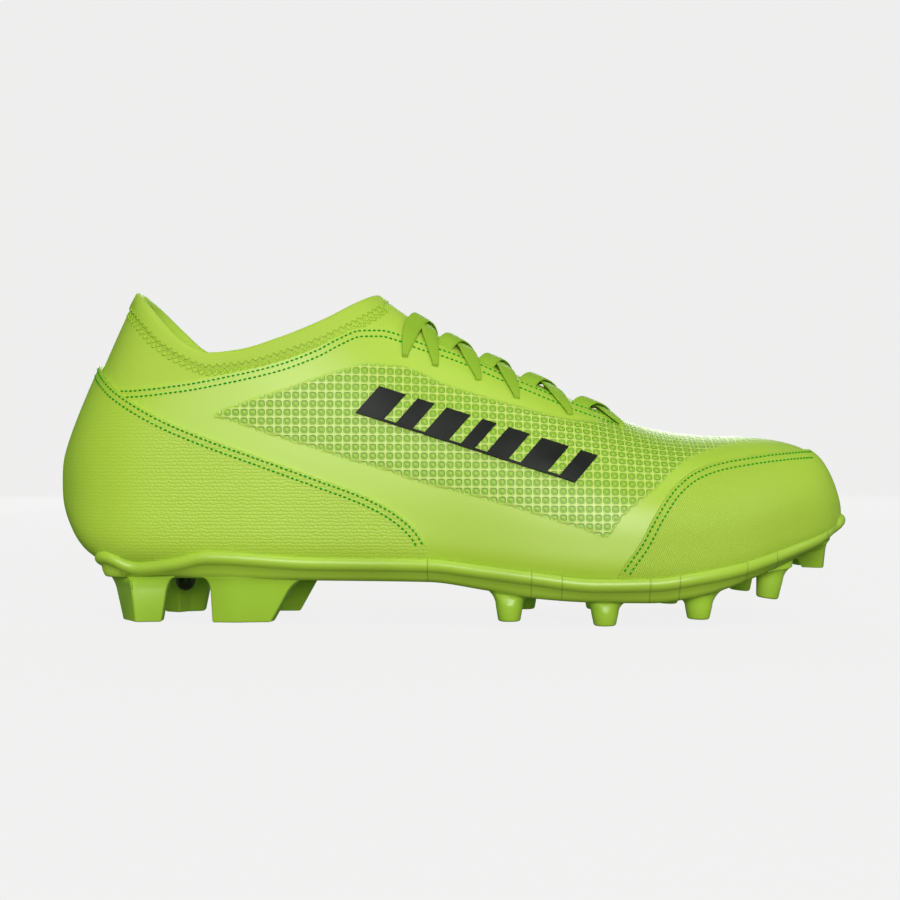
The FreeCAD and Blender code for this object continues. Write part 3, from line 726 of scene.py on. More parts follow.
def hem_ring():
    """The folded hem: a band with a round edge, from its seam outside over the top and down inside."""
    steps = [(0.0, -0.75), (0.05, -0.4), (0.15, -0.15), (0.4, -0.05), (0.65, -0.1), (0.84, -0.35),
             (0.95, -0.85), (1.0, -1.7), (0.99, -2.6), (0.9, -3.4), (0.6, -4.1), (0.3, -4.2), (0.02, -4.0)]
    columns, stretch = [], []
    for x in places(HEM_BACK, HEM_FRONT, 1.2):
        low = along(HEM, x)
        high = collar_line(x) if x < COLLAR_FRONT else OVER_RIDGE
        ribs = {}
        for side in (LATERAL, MEDIAL):
            start, stop = angle_at(x, low), angle_at(x, high)
            ribs[side] = [on_last(side, x, start + (stop - start) * share, lift) for share, lift in steps]
        columns.append(ribs[LATERAL] + ribs[MEDIAL][::-1])
        length = [k * 1.2 * MM for k in range(len(steps))]
        stretch.append([(x * MM, v) for v in length] + [(x * MM + 1, v) for v in length[::-1]])
    return close_up(sheet("collar_hem_band", columns, stretch))


print("sleeve", len(sleeve.data.polygons), "lining", len(lining.data.polygons), "faces")

# %% Hem
hem = hem_ring()
keep_only(hem)
bpy.ops.object.shade_smooth()
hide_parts("collar_hem")
for piece in (sleeve, lining, hem):
    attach(piece, "boot")
print("collar_hem_band", len(hem.data.polygons), "faces")

# %% Knit finishes
def knitted(name, colour, gauge, depth, roughness):
    """Columns of small loops: each course is a row of arches, half hidden by the next."""
    knit = Finish(name, colour, roughness, Specular_IOR_Level=0.3)
    u, v, _ = knit.parts(knit.wrap())
    course = (v * (1000 / gauge)).wave()
    wale = (u * (1000 / gauge) + course * 0.35).wave()
    loop = (1 - wale**2) * (1 - course**3 * 0.5)
    soft = knit.noise(knit.place(), 14.0, 2.0)
    base = knit.mix(soft.ramp(0.3, 0.7), colour, shade(colour, 0.92))
    # Painted shade: the colour darkens between the loops and where each course dips under the next.
    knit.feed(Base_Color=knit.mix(loop.ramp(0.0, 0.7), shade(colour, 0.86), base),
              Roughness=loop.ramp(0.0, 1.0, roughness + 0.1, roughness),
              Normal=knit.bump(loop, depth, 0.3))
    return knit


KNIT = (0.54, 0.71, 0.085)
sleeve_knit = knitted("sleeve_knit", KNIT, 0.8, 0.00008, 0.6)
hem_knit = knitted("hem_knit", shade(KNIT, 0.98), 0.8, 0.00006, 0.58)
lining_mesh = knitted("lining_mesh", (0.36, 0.56, 0.04), 1.2, 0.00018, 0.75)
dress(sleeve, sleeve_knit)
dress(hem, hem_knit)
dress(lining, lining_mesh)
print("three knits")

# %% [markdown]
# ## Plate
# The plate is moulded in one shot: a rounded rim that grips the upper, a draft that tapers in below
# it, and a dished underside. Following the outline round with one small profile gives an even rim,
# and the last loop is drawn in to the middle to close the underside.

# %% Outline of the plate
HEEL_X, TOE_X = -131.0, 146.9
FLANGE = 2.3


def plate_reach(side, x):
    """Half width of the rim's outer edge on one side: the upper's width there and the flange."""
    inside = min(max(x, HEEL_X + 0.1), TOE_X - 5.5)
    lip = rim("lip", inside)
    ends = [on_last(s, inside, angle_at(inside, lip)).y * s + FLANGE for s in (LATERAL, MEDIAL)]
    half, centre = sum(ends) / 2, (ends[1] - ends[0]) / 2
    if x < HEEL_X + 1.5:
        half *= math.sqrt(max(0.0, 1 - ((HEEL_X + 1.5 - x) / 1.52) ** 2))
    if x > TOE_X - 7.0:
        half *= max(0.0, 1 - ((x - TOE_X + 7.0) / 7.02) ** 2.2) ** (1 / 2.2)
    return centre + side * half


def plate_outline(step=2.0):
    """Points round the plate with the direction out of it, seen from above."""
    middle, length = (HEEL_X + TOE_X) / 2, (TOE_X - HEEL_X) / 2
    count = int(length * math.pi / step)
    xs = [middle - length * math.cos(math.pi * k / count) for k in range(count + 1)]
    loop = [Vector((x, plate_reach(LATERAL, x), 0)) for x in xs]
    loop += [Vector((x, plate_reach(MEDIAL, x), 0)) for x in reversed(xs)]
    total = [0.0]
    for a, b in zip(loop, loop[1:] + loop[:1]):
        total.append(total[-1] + (b - a).length)
    points, k = [], 0
    number = int(total[-1] / step)
    for j in range(number):
        want = total[-1] * j / number
        while total[k + 1] < want:
            k += 1
        share = (want - total[k]) / max(1e-9, total[k + 1] - total[k])
        points.append(loop[k].lerp(loop[(k + 1) % len(loop)], share))
    outs = []
    for j, point in enumerate(points):
        way = points[(j + 2) % number] - points[j - 2]
        outs.append(Vector((way.y, -way.x, 0)).normalized())
    return points, outs


outline, outward = plate_outline()
print("plate outline", len(outline), "points")

# %% Rim, draft and underside
def rim_profile(x):
    """Steps of the profile: distance in from the rim's outer edge and height."""
    lip, under = rim("lip", x), rim("under", x)
    deep = lip - under
    snug = 1 - 0.55 * min(1.0, max(0.0, (-108 - x) / 12))
    return [(3.4, lip - 3.0), (3.0, lip - 0.6), (2.5, lip - 0.15), (1.9, lip), (1.1, lip - 0.1),
            (0.45, lip - 0.7), (0.1, lip - 1.6), (0.0, lip - 2.5), (0.25, lip - 3.4), (0.85, lip - 4.2),
            (1.7, lip - 4.85), (2.5, lip - 5.3), (2.5 + 0.9 * snug, lip - 5.3 - 0.48 * (deep - 5.3)),
            (2.5 + 1.9 * snug, under + 0.9), (2.5 + 2.8 * snug, under + 0.25), (2.5 + 3.8 * snug, under)]


EDGE_STEP = 7  # the step of the profile that reaches furthest out


def draft_inset(x, z):
    """How far in from the rim's outer edge the plate's side lies at height z."""
    steps = rim_profile(x)[EDGE_STEP:]
    for (a_in, a_z), (b_in, b_z) in zip(steps, steps[1:]):
        if b_z <= z <= a_z:
            return a_in + (b_in - a_in) * (a_z - z) / max(1e-6, a_z - b_z)
    return steps[-1][0] if z < steps[-1][1] else 0.0


RIB_DEEP, PAD_DEEP = 0.9, 1.2


def underside(x, y):
    """Relief of the underside: a raised pad below the arch and two stiffening ribs."""
    aside = abs(y - section_middle(x))
    pad_long = min(1.0, max(0.0, (x + 41.5) / 2), max(0.0, (-20.5 - x) / 2))
    pad_wide = min(1.0, max(0.0, (10 - aside) / 2.5))
    ribs_wide = max(0.0, 1 - ((aside - 13.0) / 3.2) ** 2)
    ribs_long = min(1.0, max(0.0, (x + 52) / 10), max(0.0, (14 - x) / 14))
    return -RIB_DEEP * (ribs_wide * ribs_long) - PAD_DEEP * (pad_long * pad_wide)


def plate_shell():
    """A grid wrapped round the outline, then drawn in to the spine of the underside."""
    columns, stretch = [], []
    for index in range(len(outline) + 1):
        point, out = outline[index % len(outline)], outward[index % len(outline)]
        profile = rim_profile(point.x)
        column = [point - out * inset + Vector((0, 0, height)) for inset, height in profile]
        last = column[-1]
        spine_x = max(-112.0, min(122.0, last.x))
        spine = Vector((spine_x, section_middle(spine_x), rim("under", spine_x) + 0.2))
        for k in range(1, 19):
            place = last.lerp(spine, k / 18)
            column.append(place + Vector((0, 0, underside(place.x, place.y))))
        columns.append(column)
        stretch.append([(index * 2.0 * MM, k * MM) for k in range(len(column))])
    return close_up(sheet("moulded_plate", columns, stretch), 0.05)


def section_middle(x):
    return (plate_reach(LATERAL, x) + plate_reach(MEDIAL, x)) / 2


plate = plate_shell()
keep_only(plate)
bpy.ops.object.shade_smooth_by_angle(angle=math.radians(50))
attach(plate, "boot")
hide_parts("outsole_plate")
print("moulded_plate", len(plate.data.polygons), "faces")

# %% [markdown]
# ## Moulded plastic
# Plate and studs are the same glossy, slightly cloudy plastic. Thin parting lines cross the rim
# where the mould's slides met; they are dark hairlines at known places along the boot.

# %% Plastic finishes
PLATE = (0.50, 0.70, 0.07)
PARTINGS = (-9.5, 27.0, 37.7, 68.5, 79.0, 103.5, 115.0, 136.5)


def moulded(name, colour, partings=()):
    plastic = Finish(name, colour, 0.3, Coat_Roughness=0.26, Specular_IOR_Level=0.5)
    place = plastic.place()
    x, _, _ = plastic.parts(place)
    cloud = plastic.noise(place, 22.0, 3.0)
    peel = plastic.noise(place, 520.0, 2.0)
    base = plastic.mix(cloud.ramp(0.3, 0.7), colour, shade(colour, 0.86))
    height = peel * 0.25
    if partings:
        line = 0.0
        for at in partings:
            near = (x - at * MM).apply("ABSOLUTE")
            line = near.ramp(0.00008, 0.00032, 1.0, 0.0) + line
        line = line.apply("MINIMUM", 1.0)
        base = plastic.mix(line * 0.45, base, shade(colour, 0.4))
        height = height - line * 1.5
    plastic.feed(Base_Color=base, Roughness=peel * 0.1 + 0.32, Coat_Weight=cloud.ramp(0.3, 0.7, 0.12, 0.22),
                 Normal=plastic.bump(height, 0.00015, 0.6))
    return plastic


plate_plastic = moulded("plate_plastic", PLATE, PARTINGS)
stud_plastic = moulded("stud_plastic", (0.47, 0.71, 0.06))
dress(plate, plate_plastic)
print("plate_plastic", len(plate_plastic.tree.nodes), "nodes")

# %% [markdown]
# ## Conical studs
# A stud is turned: a profile from the rounded tip up the cone and out through a fillet into the
# plate. Spinning the profile gives it in one step; a cylinder with bevels would lose the fillet.

# %% Turned studs
STUDS = {
    "lateral_stud_1": (19.6, -33.5, 1.4, 0), "lateral_stud_2": (53.4, -35.8, 0.0, 0),
    "lateral_stud_3": (87.0, -31.8, 2.0, 2), "lateral_stud_4": (113.5, -20.5, 8.6, 8),
    "medial_stud_1": (27.5, 27.5, 0.6, 0), "medial_stud_2": (56.0, 34.0, 0.0, 0),
    "medial_stud_3": (84.0, 36.5, 2.0, 2), "medial_stud_4": (111.5, 30.5, 7.6, 6),
}


def spun(name, profile, steps=36):
    """Spins a profile of (radius, height) in millimetres about the upright axis."""
    bpy.ops.mesh.primitive_plane_add(size=0.01)
    obj = bpy.context.object
    obj.name = obj.data.name = name
    keep_only(obj)
    bpy.ops.object.mode_set(mode="EDIT")
    mesh = bmesh.from_edit_mesh(obj.data)
    bmesh.ops.delete(mesh, geom=list(mesh.verts), context="VERTS")
    chain = [mesh.verts.new((r * MM, 0, z * MM)) for r, z in profile]
    for a, b in zip(chain, chain[1:]):
        mesh.edges.new((a, b))
    bmesh.update_edit_mesh(obj.data)
    bpy.ops.mesh.select_all(action="SELECT")
    bpy.ops.mesh.spin(steps=steps, angle=2 * math.pi, center=(0, 0, 0), axis=(0, 0, 1))
    bpy.ops.object.mode_set(mode="OBJECT")
    return close_up(obj, 0.01)


TIP_RADIUS, ROOT_RADIUS, TIP_SOFT = 4.1, 4.8, 1.1
FLARE, SLANTED_FLARE, SLANTED_FROM = 4.6, 3.4, 5   # a stud slanted more than this flares less
EDGE_ROOM = 6.2                                    # a flare ends this far inside the plate's edge
STUD_INSET, BLADE_INSET = 6.4, 4.4                 # how far roots are held in below the rim


def stud_profile(height, flare):
    """From the tip up the cone and out through the fillet; the last steps stay inside the plate."""
    tip, root, soft = TIP_RADIUS, ROOT_RADIUS, TIP_SOFT
    points = [(0, 0), (tip - soft, 0)]
    points += [(tip - soft + soft * math.sin(a), soft - soft * math.cos(a)) for a in (0.4, 0.8, 1.2)]
    bends = (0.0, 0.25, 0.5, 0.75, 1.0, 1.25, 1.45)
    points += [(root + flare * (1 - math.cos(a)), height - flare * (1 - math.sin(a))) for a in bends]
    return points + [(root + flare * 0.85, height + 2.6), (0, height + 2.8)]


def squeeze(obj, x, y, neck=ROOT_RADIUS, flare=FLARE):
    """Makes a stud's flare narrower towards the plate's edge, so that it ends below the plate."""
    side = LATERAL if y < 0 else MEDIAL
    for vertex in obj.data.vertices:
        off = Vector((vertex.co.x / MM - x, vertex.co.y / MM - y))
        extra = off.length - neck
        if extra > 0 and off.y * side > 0:
            edge = plate_reach(side, vertex.co.x / MM) - side * EDGE_ROOM
            room = min(1.0, max(0.04, ((edge - y) * side - neck) / flare))
            off *= (neck + extra * (1 - (1 - room) * (off.y / off.length) ** 2)) / off.length
            vertex.co.x, vertex.co.y = (x + off.x) * MM, (y + off.y) * MM


def tuck_in(obj, middle, neck, deepest, margin=0.25):
    """Bends the flare to the plate's slope and draws in what would stand out beside the plate."""
    for vertex in obj.data.vertices:
        x, y, z = vertex.co / MM
        share = min(1.0, max(0.0, (z - neck) / max(1.0, rim("under", middle) - neck)))
        z += (rim("under", x) - rim("under", middle)) * share**1.5
        vertex.co.z = z * MM
        if z > rim("under", x) - 2.5:
            x = min(TOE_X - draft_inset(TOE_X, z) - 0.3, max(HEEL_X + draft_inset(HEEL_X, z) + 0.3, x))
            vertex.co.x = x * MM
            side = LATERAL if y < section_middle(x) else MEDIAL
            edge = plate_reach(side, x) - side * (min(deepest, draft_inset(x, z)) + margin)
            if (y - edge) * side > 0:
                vertex.co.y = (edge + (y - edge) * 0.12) * MM


def root_on_plate(obj, name, finish, middle, neck, deepest=BLADE_INSET):
    """Settles a stud or blade: smooth, joined to its body and in place of its node."""
    tuck_in(obj, middle, neck, deepest)
    keep_only(obj)
    bpy.ops.object.shade_smooth_by_angle(angle=math.radians(55))
    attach(obj, "boot")
    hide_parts(name)
    return dress(obj, finish)


for name, (x, y, tip, lean) in STUDS.items():
    flare = FLARE if lean < SLANTED_FROM else SLANTED_FLARE
    stud = spun(name + "_turned", stud_profile(rim("under", x) - tip + 0.5, flare))
    stud.location = (x * MM, y * MM, tip * MM)
    stud.rotation_euler = (0, math.radians(lean), 0)
    keep_only(stud)
    bpy.ops.object.transform_apply(location=True, rotation=True, scale=True)
    squeeze(stud, x, y)
    root_on_plate(stud, name, stud_plastic, x, rim("under", x) - 6.0, STUD_INSET)
print("conical studs", len(STUDS))

# %% [markdown]
# ## Blades
# The heel stands on four blades, bent in plan, that widen upwards into the plate. Each is a
# polygon extruded in six lifts and bevelled, as one would whittle it from a block.

# %% Heel and toe blades
LIFTS = [(0.0, 0.0, 1.0), (0.70, 0.72, 1.0), (0.82, 0.86, 1.02), (0.91, 0.95, 1.07), (0.97, 1.0, 1.16),
         (1.0, 1.0, 1.27), (1.07, 1.0, 1.27)]


def blade(name, low, high, tip, height, soft):
    """Extrudes an outline upwards in lifts, widening it into the plate, then rounds its edges."""
    bpy.ops.mesh.primitive_circle_add(vertices=len(low), radius=0.01, fill_type="NGON")
    obj = bpy.context.object
    obj.name = obj.data.name = name
    rises = [share * height * MM for share, _, _ in LIFTS]
    for below, above in zip(rises, rises[1:]):
        lift = Vector((0, 0, above - below))
        in_edit(obj, lambda: top_only(below), lambda: bpy.ops.mesh.extrude_region_move(
            TRANSFORM_OT_translate={"value": lift}))
    corners = [v.co.xy.copy() for v in obj.data.vertices[:len(low)]]
    levels = [(rise, share, spread) for rise, (_, share, spread) in zip(rises, LIFTS)]
    for vertex in obj.data.vertices:
        rise, share, spread = min(levels, key=lambda level: abs(level[0] - vertex.co.z))
        corner = min(range(len(low)), key=lambda k: (corners[k] - vertex.co.xy).length)
        plan = [Vector(a).lerp(Vector(b), share) for a, b in zip(low, high)]
        middle = sum(plan, Vector((0, 0))) / len(plan)
        wide = middle + (plan[corner] - middle) * spread
        vertex.co = Vector((wide.x, wide.y, tip + rise / MM)) * MM
    close_up(obj, 0.01)
    edge = obj.modifiers.new("soft edges", "BEVEL")
    edge.width = soft * MM
    edge.segments = 3
    edge.limit_method = "ANGLE"
    edge.angle_limit = math.radians(24)
    return apply_all(obj)


def top_only(height):
    """Selects the face at a height, for the next lift."""
    bpy.ops.mesh.select_mode(type="FACE")
    mesh = bmesh.from_edit_mesh(bpy.context.object.data)
    for face in mesh.faces:
        face.select = all(abs(v.co.z - height) < 0.02 * MM for v in face.verts)
    mesh.select_flush_mode()


HEEL_BLADES = {
    "lateral_heel_blade_rear": (
        [(-121, -15.5), (-114.5, -27), (-105.5, -25.5), (-105.5, -19), (-111.5, -17), (-114.5, -12)],
        [(-125, -13.5), (-116.5, -28), (-102.5, -28), (-102.5, -19), (-110, -15), (-114, -9)]),
    "lateral_heel_blade_front": (
        [(-86.8, -20.5), (-86.8, -28), (-78, -29), (-66, -27), (-65, -21.5), (-78, -20)],
        [(-87.5, -18), (-87.5, -30), (-78, -31.5), (-57, -29.5), (-56, -19.5), (-78, -16.5)]),
    "medial_heel_blade_rear": (
        [(-110.5, 17), (-105, 26.5), (-96, 25.5), (-96, 19.5), (-101.5, 17.5), (-104.5, 13)],
        [(-117, 14), (-109, 28.5), (-93, 29), (-93, 19), (-100, 15), (-104.5, 9)]),
    "medial_heel_blade_front": (
        [(-78, 20.5), (-78, 27), (-69, 27.5), (-60, 25.5), (-59, 20.5), (-69, 19.5)],
        [(-80, 17), (-80, 29), (-69, 30), (-51, 27.5), (-50, 18), (-69, 16)]),
}
TOE_BLADES = {
    "lateral_toe_blade": ([(130.0, 0.5), (136.4, -4.0), (138.0, -1.0), (132.5, 4.5)],
                          [(125.5, -1.5), (137.2, -6.0), (139.0, -1.0), (129, 6.5)]),
    "medial_toe_blade": ([(131, 13.5), (136, 12), (136, 17), (130, 18.5)],
                         [(124, 12), (138, 9.5), (138, 19), (123, 22)]),
}
HEEL_CUT = (0.4, 16.6, 0.9)  # height of the tip, height of the blade, width of its rounded edges
TOE_CUT = (18.4, 9.6, 0.5)
shapes = [(n, low, high, HEEL_CUT) for n, (low, high) in HEEL_BLADES.items()]
shapes += [(n, low, high, TOE_CUT) for n, (low, high) in TOE_BLADES.items()]
for name, low, high, (tip, height, soft) in shapes:
    piece = blade(name + "_cut", low, high, tip, height, soft)
    root_on_plate(piece, name, stud_plastic, low[2][0], rim("under", low[2][0]) - 4.0)
print("blades", len(shapes))

# %% [markdown]
# ## Plug
# A black domed plug closes a hole in the middle of the heel. Its dome is spun like a stud.

# %% Plug
DOME = [(0, 0), (0.9, 0.1), (1.8, 0.42), (2.7, 1.05), (3.4, 1.95), (3.85, 3.0), (4.05, 4.2), (4.1, 6.4),
        (0, 6.6)]
plug = spun("domed_plug", DOME)
plug.location = (-100.4 * MM, 0, 9.7 * MM)
keep_only(plug)
bpy.ops.object.transform_apply(location=True, rotation=True, scale=True)
bpy.ops.object.shade_smooth_by_angle(angle=math.radians(50))
black = Finish("plug_black", (0.012, 0.012, 0.013), 0.15, Coat_Weight=0.6, Coat_Roughness=0.05)
scuff = black.noise(black.place(), 900.0, 3.0)
black.feed(Roughness=scuff.ramp(0.3, 0.8, 0.1, 0.28), Normal=black.bump(scuff, 0.00003, 0.3))
dress(plug, black)
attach(plug, "boot")
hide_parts("heel_plug")
print("domed_plug", len(plug.data.polygons), "faces")

# %% [markdown]
# ## Footbed
# A loose foam sockliner with a fabric cover lies in the boot. Both are cupped sheets of the same
# last, laid at their own depth inside it and ending a little way up the wall. A flat slab would
# leave gaps at the wall; simulation has nothing to move here, because foam 3.3 mm thick lies still.

# %% Sockliner
def cup(height):
    """Upper edge of the footbed, a few millimetres above the floor of the last."""
    return lambda x: section("floor", x) + height


footbed_cover = on_last_sheet("footbed_cover", (-133.5, 136.5), whole_depth, cup(13.4), -9.0, 0.75, 2.4, 22)
footbed_foam = on_last_sheet("footbed_foam", (-135, 138), whole_depth, cup(12.6), -5.3, 3.3, 2.4, 22)
for piece, node in ((footbed_cover, "sockliner_cover"), (footbed_foam, "sockliner_foam")):
    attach(piece, "sockliner")
    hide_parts(node)
dress(footbed_cover, knitted("footbed_fabric", (0.40, 0.60, 0.05), 1.1, 0.0002, 0.8))

foam = Finish("open_foam", (0.10, 0.11, 0.10), 0.95)
cell = foam.add("ShaderNodeTexVoronoi", None, {"Vector": foam.place(), "Scale": 1500.0})
tone = foam.noise(foam.place(), 60.0, 3.0)
foam.feed(Base_Color=foam.mix(tone.ramp(0.3, 0.7), (0.10, 0.11, 0.10), (0.14, 0.15, 0.14)),
          Roughness=cell.ramp(0.0, 0.6, 0.98, 0.9), Normal=foam.bump(cell, 0.0003, 0.6))
dress(footbed_foam, foam)
print("footbed", len(footbed_cover.data.polygons), len(footbed_foam.data.polygons), "faces")

# %% [markdown]
# ## Lace
# One flat woven lace runs through six pairs of eyelets, out over the edge on one side and in under
# it on the other. It is flat, held at every eyelet and short between them, so it is a band swept
# along its route: each station turns the band with the surface below it.

# %% Route of the lace
EYELETS = [(60.7, 71.0), (41.4, 75.4), (22.3, 81.5), (8.6, 88.1), (-6.9, 93.4), (-17.7, 96.9)]
LACE_WIDE, LACE_THICK = 6.6, 0.9
UNDER, ABOVE, TIGHT = -1.77, 0.75, 0.36


def top_point(x, y, lift):
    """Point over the instep, lifted off the surface, and the direction out of it."""
    def height(px, py):
        centre, half, girth, _, high, _, power = oval(px, 0.0)
        share = min(0.999, abs(py - centre) / half)
        return girth + high * (1 - share**power) ** (1 / power)

    out = Vector((height(x - 1, y) - height(x + 1, y), height(x, y - 1) - height(x, y + 1), 2)).normalized()
    return Vector((x, y, height(x, y))) + out * lift, out


def eyelet(side, row):
    """Plan position of an eyelet."""
    x, z = EYELETS[row]
    centre, half, girth, _, high, _, power = oval(x, 0.0)
    return Vector((x, centre + side * half * (1 - ((z - girth) / high) ** power) ** (1 / power)))


def crossing(start, end, peak):
    """Stations of one strand as plan, lift and share of the width."""
    rises = [(0.0, ABOVE, TIGHT), (0.05, ABOVE, 0.55), (0.12, ABOVE, 0.76), (0.2, ABOVE + 0.1, 0.94),
             (0.27, 0.6 * peak + 0.5, 1.0), (0.38, peak, 1.0), (0.5, peak, 1.0), (0.62, peak - 0.2, 1.0),
             (0.71, 0.5 * peak, 1.0), (0.78, -0.5, 1.0), (0.84, UNDER, 0.9), (0.93, UNDER, 0.7),
             (1.0, UNDER, TIGHT)]
    return [(start.lerp(end, u), lift, share) for u, lift, share in rises]


def fold(plan, side, rising):
    """Stations of the turn through an eyelet."""
    loop = [(0.35, UNDER + 0.25), (0.6, (UNDER + ABOVE) / 2), (0.35, ABOVE - 0.25)]
    loop = loop if rising else loop[::-1]
    return [(plan + Vector((0, side * out)), lift, TIGHT) for out, lift in loop]


def half_lace(side, peaks):
    """From the middle of the front bar out through the first eyelet and up to the last row."""
    plan = eyelet(side, 0)
    middle = Vector((plan.x + 0.6, (eyelet(LATERAL, 0).y + eyelet(MEDIAL, 0).y) / 2))
    run = [(middle, UNDER, 0.9), (middle.lerp(plan, 0.5), UNDER, 0.8), (plan, UNDER, TIGHT)]
    for row, peak in enumerate(peaks):
        goal = eyelet(-side, row + 1)
        strand = crossing(plan, goal, peak)
        if row == len(peaks) - 1:
            strand = [(p, max(lift, ABOVE), share) for p, lift, share in strand]
        run += fold(plan, side, True) + strand
        plan, side = goal, -side
    run += fold(plan, side, False)
    return run + [(plan - Vector((0, side * 2.5)), UNDER, TIGHT)]


peaks = [1.0, 2.3, 1.0, 2.3, 1.0]
route = half_lace(LATERAL, peaks)[::-1] + half_lace(MEDIAL, [3.3 - p for p in peaks])[1:]
print("lace stations", len(route))

# %% Woven band
def eased(a, b, c, d, t):
    """Catmull-Rom blend between b and c."""
    return 0.5 * (2 * b + (c - a) * t + (2 * a - 5 * b + 4 * c - d) * t**2 + (3 * b - a - 3 * c + d) * t**3)


def band(run, parts=4):
    """Sweeps the lace's flat section along its stations."""
    knots = [Vector((p.x, p.y, lift, share)) for p, lift, share in run]
    stations = []
    for i in range(len(knots) - 1):
        a, b, c, d = knots[max(0, i - 1)], knots[i], knots[i + 1], knots[min(len(knots) - 1, i + 2)]
        stations += [eased(a, b, c, d, k / parts) for k in range(parts)]
    located = [top_point(s[0], s[1], s[2]) for s in stations]
    columns, stretch, across, gone = [], [], Vector((1, 0, 0)), 0.0
    for i, (place, normal) in enumerate(located):
        travel = (located[min(i + 1, len(located) - 1)][0] - located[max(0, i - 1)][0]).normalized()
        gone += (place - located[max(0, i - 1)][0]).length
        flat = travel.cross(normal)
        flat = across.copy() if flat.length < 0.6 else flat.normalized()
        flat = flat * (1 if flat.dot(across) >= 0 else -1) + across * 1.6
        across = (flat - travel * flat.dot(travel)).normalized()
        up, wide = travel.cross(across), LACE_WIDE / 2 * stations[i][3]
        ring = []
        for k in range(17):
            turn = 2 * math.pi * k / 16
            c, s = math.cos(turn), math.sin(turn)
            ring.append(place + across * wide * math.copysign(abs(c) ** 0.6, c)
                        + up * LACE_THICK / 2 * math.copysign(abs(s) ** 0.7, s))
        columns.append(ring)
        stretch.append([(gone * MM, math.cos(2 * math.pi * k / 16) * wide * MM) for k in range(17)])
    ends = [[sum(c[:-1], Vector()) / 16] * 17 for c in (columns[0], columns[-1])]
    print("lace length", round(gone), "mm")
    columns = [ends[0]] + columns + [ends[1]]
    stretch = [stretch[0]] + stretch + [stretch[-1]]
    return close_up(sheet("woven_lace", columns, stretch), 0.01)


lace = band(route)
keep_only(lace)
bpy.ops.object.shade_smooth()
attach(lace, "boot")
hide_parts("lace")
# Lace tones: the plain one, a darker one as painted shade for the gaps between yarns, and a paler one.
LACE, LACE_PAINTED_SHADE, LACE_PALE = (0.33, 0.52, 0.035), (0.27, 0.45, 0.025), (0.38, 0.57, 0.045)
weave = Finish("lace_weave", LACE, 0.6, Specular_IOR_Level=0.3)
u, v, _ = weave.parts(weave.wrap())
chevron = ((u + v.apply("ABSOLUTE") * 0.8) * (1000 / 0.75)).wave()
cord = (v * (1000 / 0.55)).wave()
yarn = (1 - chevron**2) * (1 - cord**3 * 0.5)
soft = weave.noise(weave.place(), 60.0, 2.0)
# Painted shade: the gaps between the yarns, where chevrons and cords dip, take the darkest tone; the pale and
# plain tones vary at random.
weave.feed(Base_Color=weave.mix(yarn.ramp(0.0, 0.7), LACE_PAINTED_SHADE, weave.mix(soft, LACE_PALE, LACE)),
           Roughness=yarn.ramp(0.0, 1.0, 0.7, 0.55), Normal=weave.bump(yarn, 0.00012, 0.5))
dress(lace, weave)
print("woven_lace", len(lace.data.polygons), "faces")

# %% [markdown]
# ## Stitching
# Rows of dark green thread hold the layers. A stitch is a short rounded stick sunk at both ends;
# one piece per seam holds all its stitches, each with only a few dozen faces, laid along a line a
# given distance inside the edge it holds. Painting them on would leave the seams flat.

# %% Seam lines
def inside(points, gap, start, stop, step=1.0):
    """An outline moved inwards in the side view, as (x, z) places between two x."""
    places, x = [], start
    while x <= stop:
        slope = (along(points, x + 0.5) - along(points, x - 0.5))
        lean = 1 / math.hypot(1, slope)
        places.append((x + slope * lean * gap, along(points, x) - lean * gap))
        x += max(0.12, step * lean)
    return places


def seam_path(side, places, offset):
    """The line laid on the last: points with the direction out of the surface."""
    return [skin_point(side, x, z, offset) for x, z in places if z < section("crown", x) + 0.3]


def stitches(name, paths, pitch, length, radius, sunk, zigzag=0.0):
    """All stitches along some paths, in one piece."""
    stick = ((0.0, 0.45, -sunk), (0.22, 1.0, 0.0), (0.78, 1.0, 0.0), (1.0, 0.45, -sunk))
    turns = (0.3, 1.35, 2.4, 3.45, 4.5, 5.55)
    mesh = bmesh.new()
    for path in paths:
        total, marks = 0.0, [0.0]
        for (a, _), (b, _) in zip(path, path[1:]):
            total += (b - a).length
            marks.append(total)
        count = int(total / pitch)
        for n in range(count):
            spots = []
            for share in (0.5 - length / pitch / 2, 0.5 + length / pitch / 2):
                want = (n + share) * pitch
                k = min(len(path) - 2, max(0, bisect.bisect_right(marks, want) - 1))
                t = min(1.0, max(0.0, (want - marks[k]) / max(1e-6, marks[k + 1] - marks[k])))
                (here, up), (there, up_there) = path[k], path[k + 1]
                spots.append((here.lerp(there, t), up.lerp(up_there, t).normalized()))
            (a, out), (b, _) = spots
            travel = (b - a).normalized()
            aside = travel.cross(out).normalized()
            sway = aside * zigzag * (1 if n % 2 else -1)
            a, b = a - sway, b + sway
            travel = (b - a).normalized()
            aside = travel.cross(out).normalized()
            rings = []
            for share, size, lift in stick:
                middle = a.lerp(b, share) + out * (lift + radius * 0.35)
                spokes = [aside * math.cos(w) + out * math.sin(w) for w in turns]
                rings.append([mesh.verts.new((middle + spoke * radius * size) * MM) for spoke in spokes])
            for low, high in zip(rings, rings[1:]):
                for k in range(len(turns)):
                    after = (k + 1) % len(turns)
                    mesh.faces.new((low[k], low[after], high[after], high[k]))
            mesh.faces.new(rings[0][::-1])
            mesh.faces.new(rings[-1])
    bpy.ops.mesh.primitive_plane_add(size=0.01)
    obj = bpy.context.object
    obj.name = obj.data.name = name
    mesh.to_mesh(obj.data)
    mesh.free()
    in_edit(obj, lambda: bpy.ops.mesh.normals_make_consistent(inside=False))
    keep_only(obj)
    bpy.ops.object.shade_smooth()
    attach(obj, "boot")
    return obj


print("stitch maker ready")

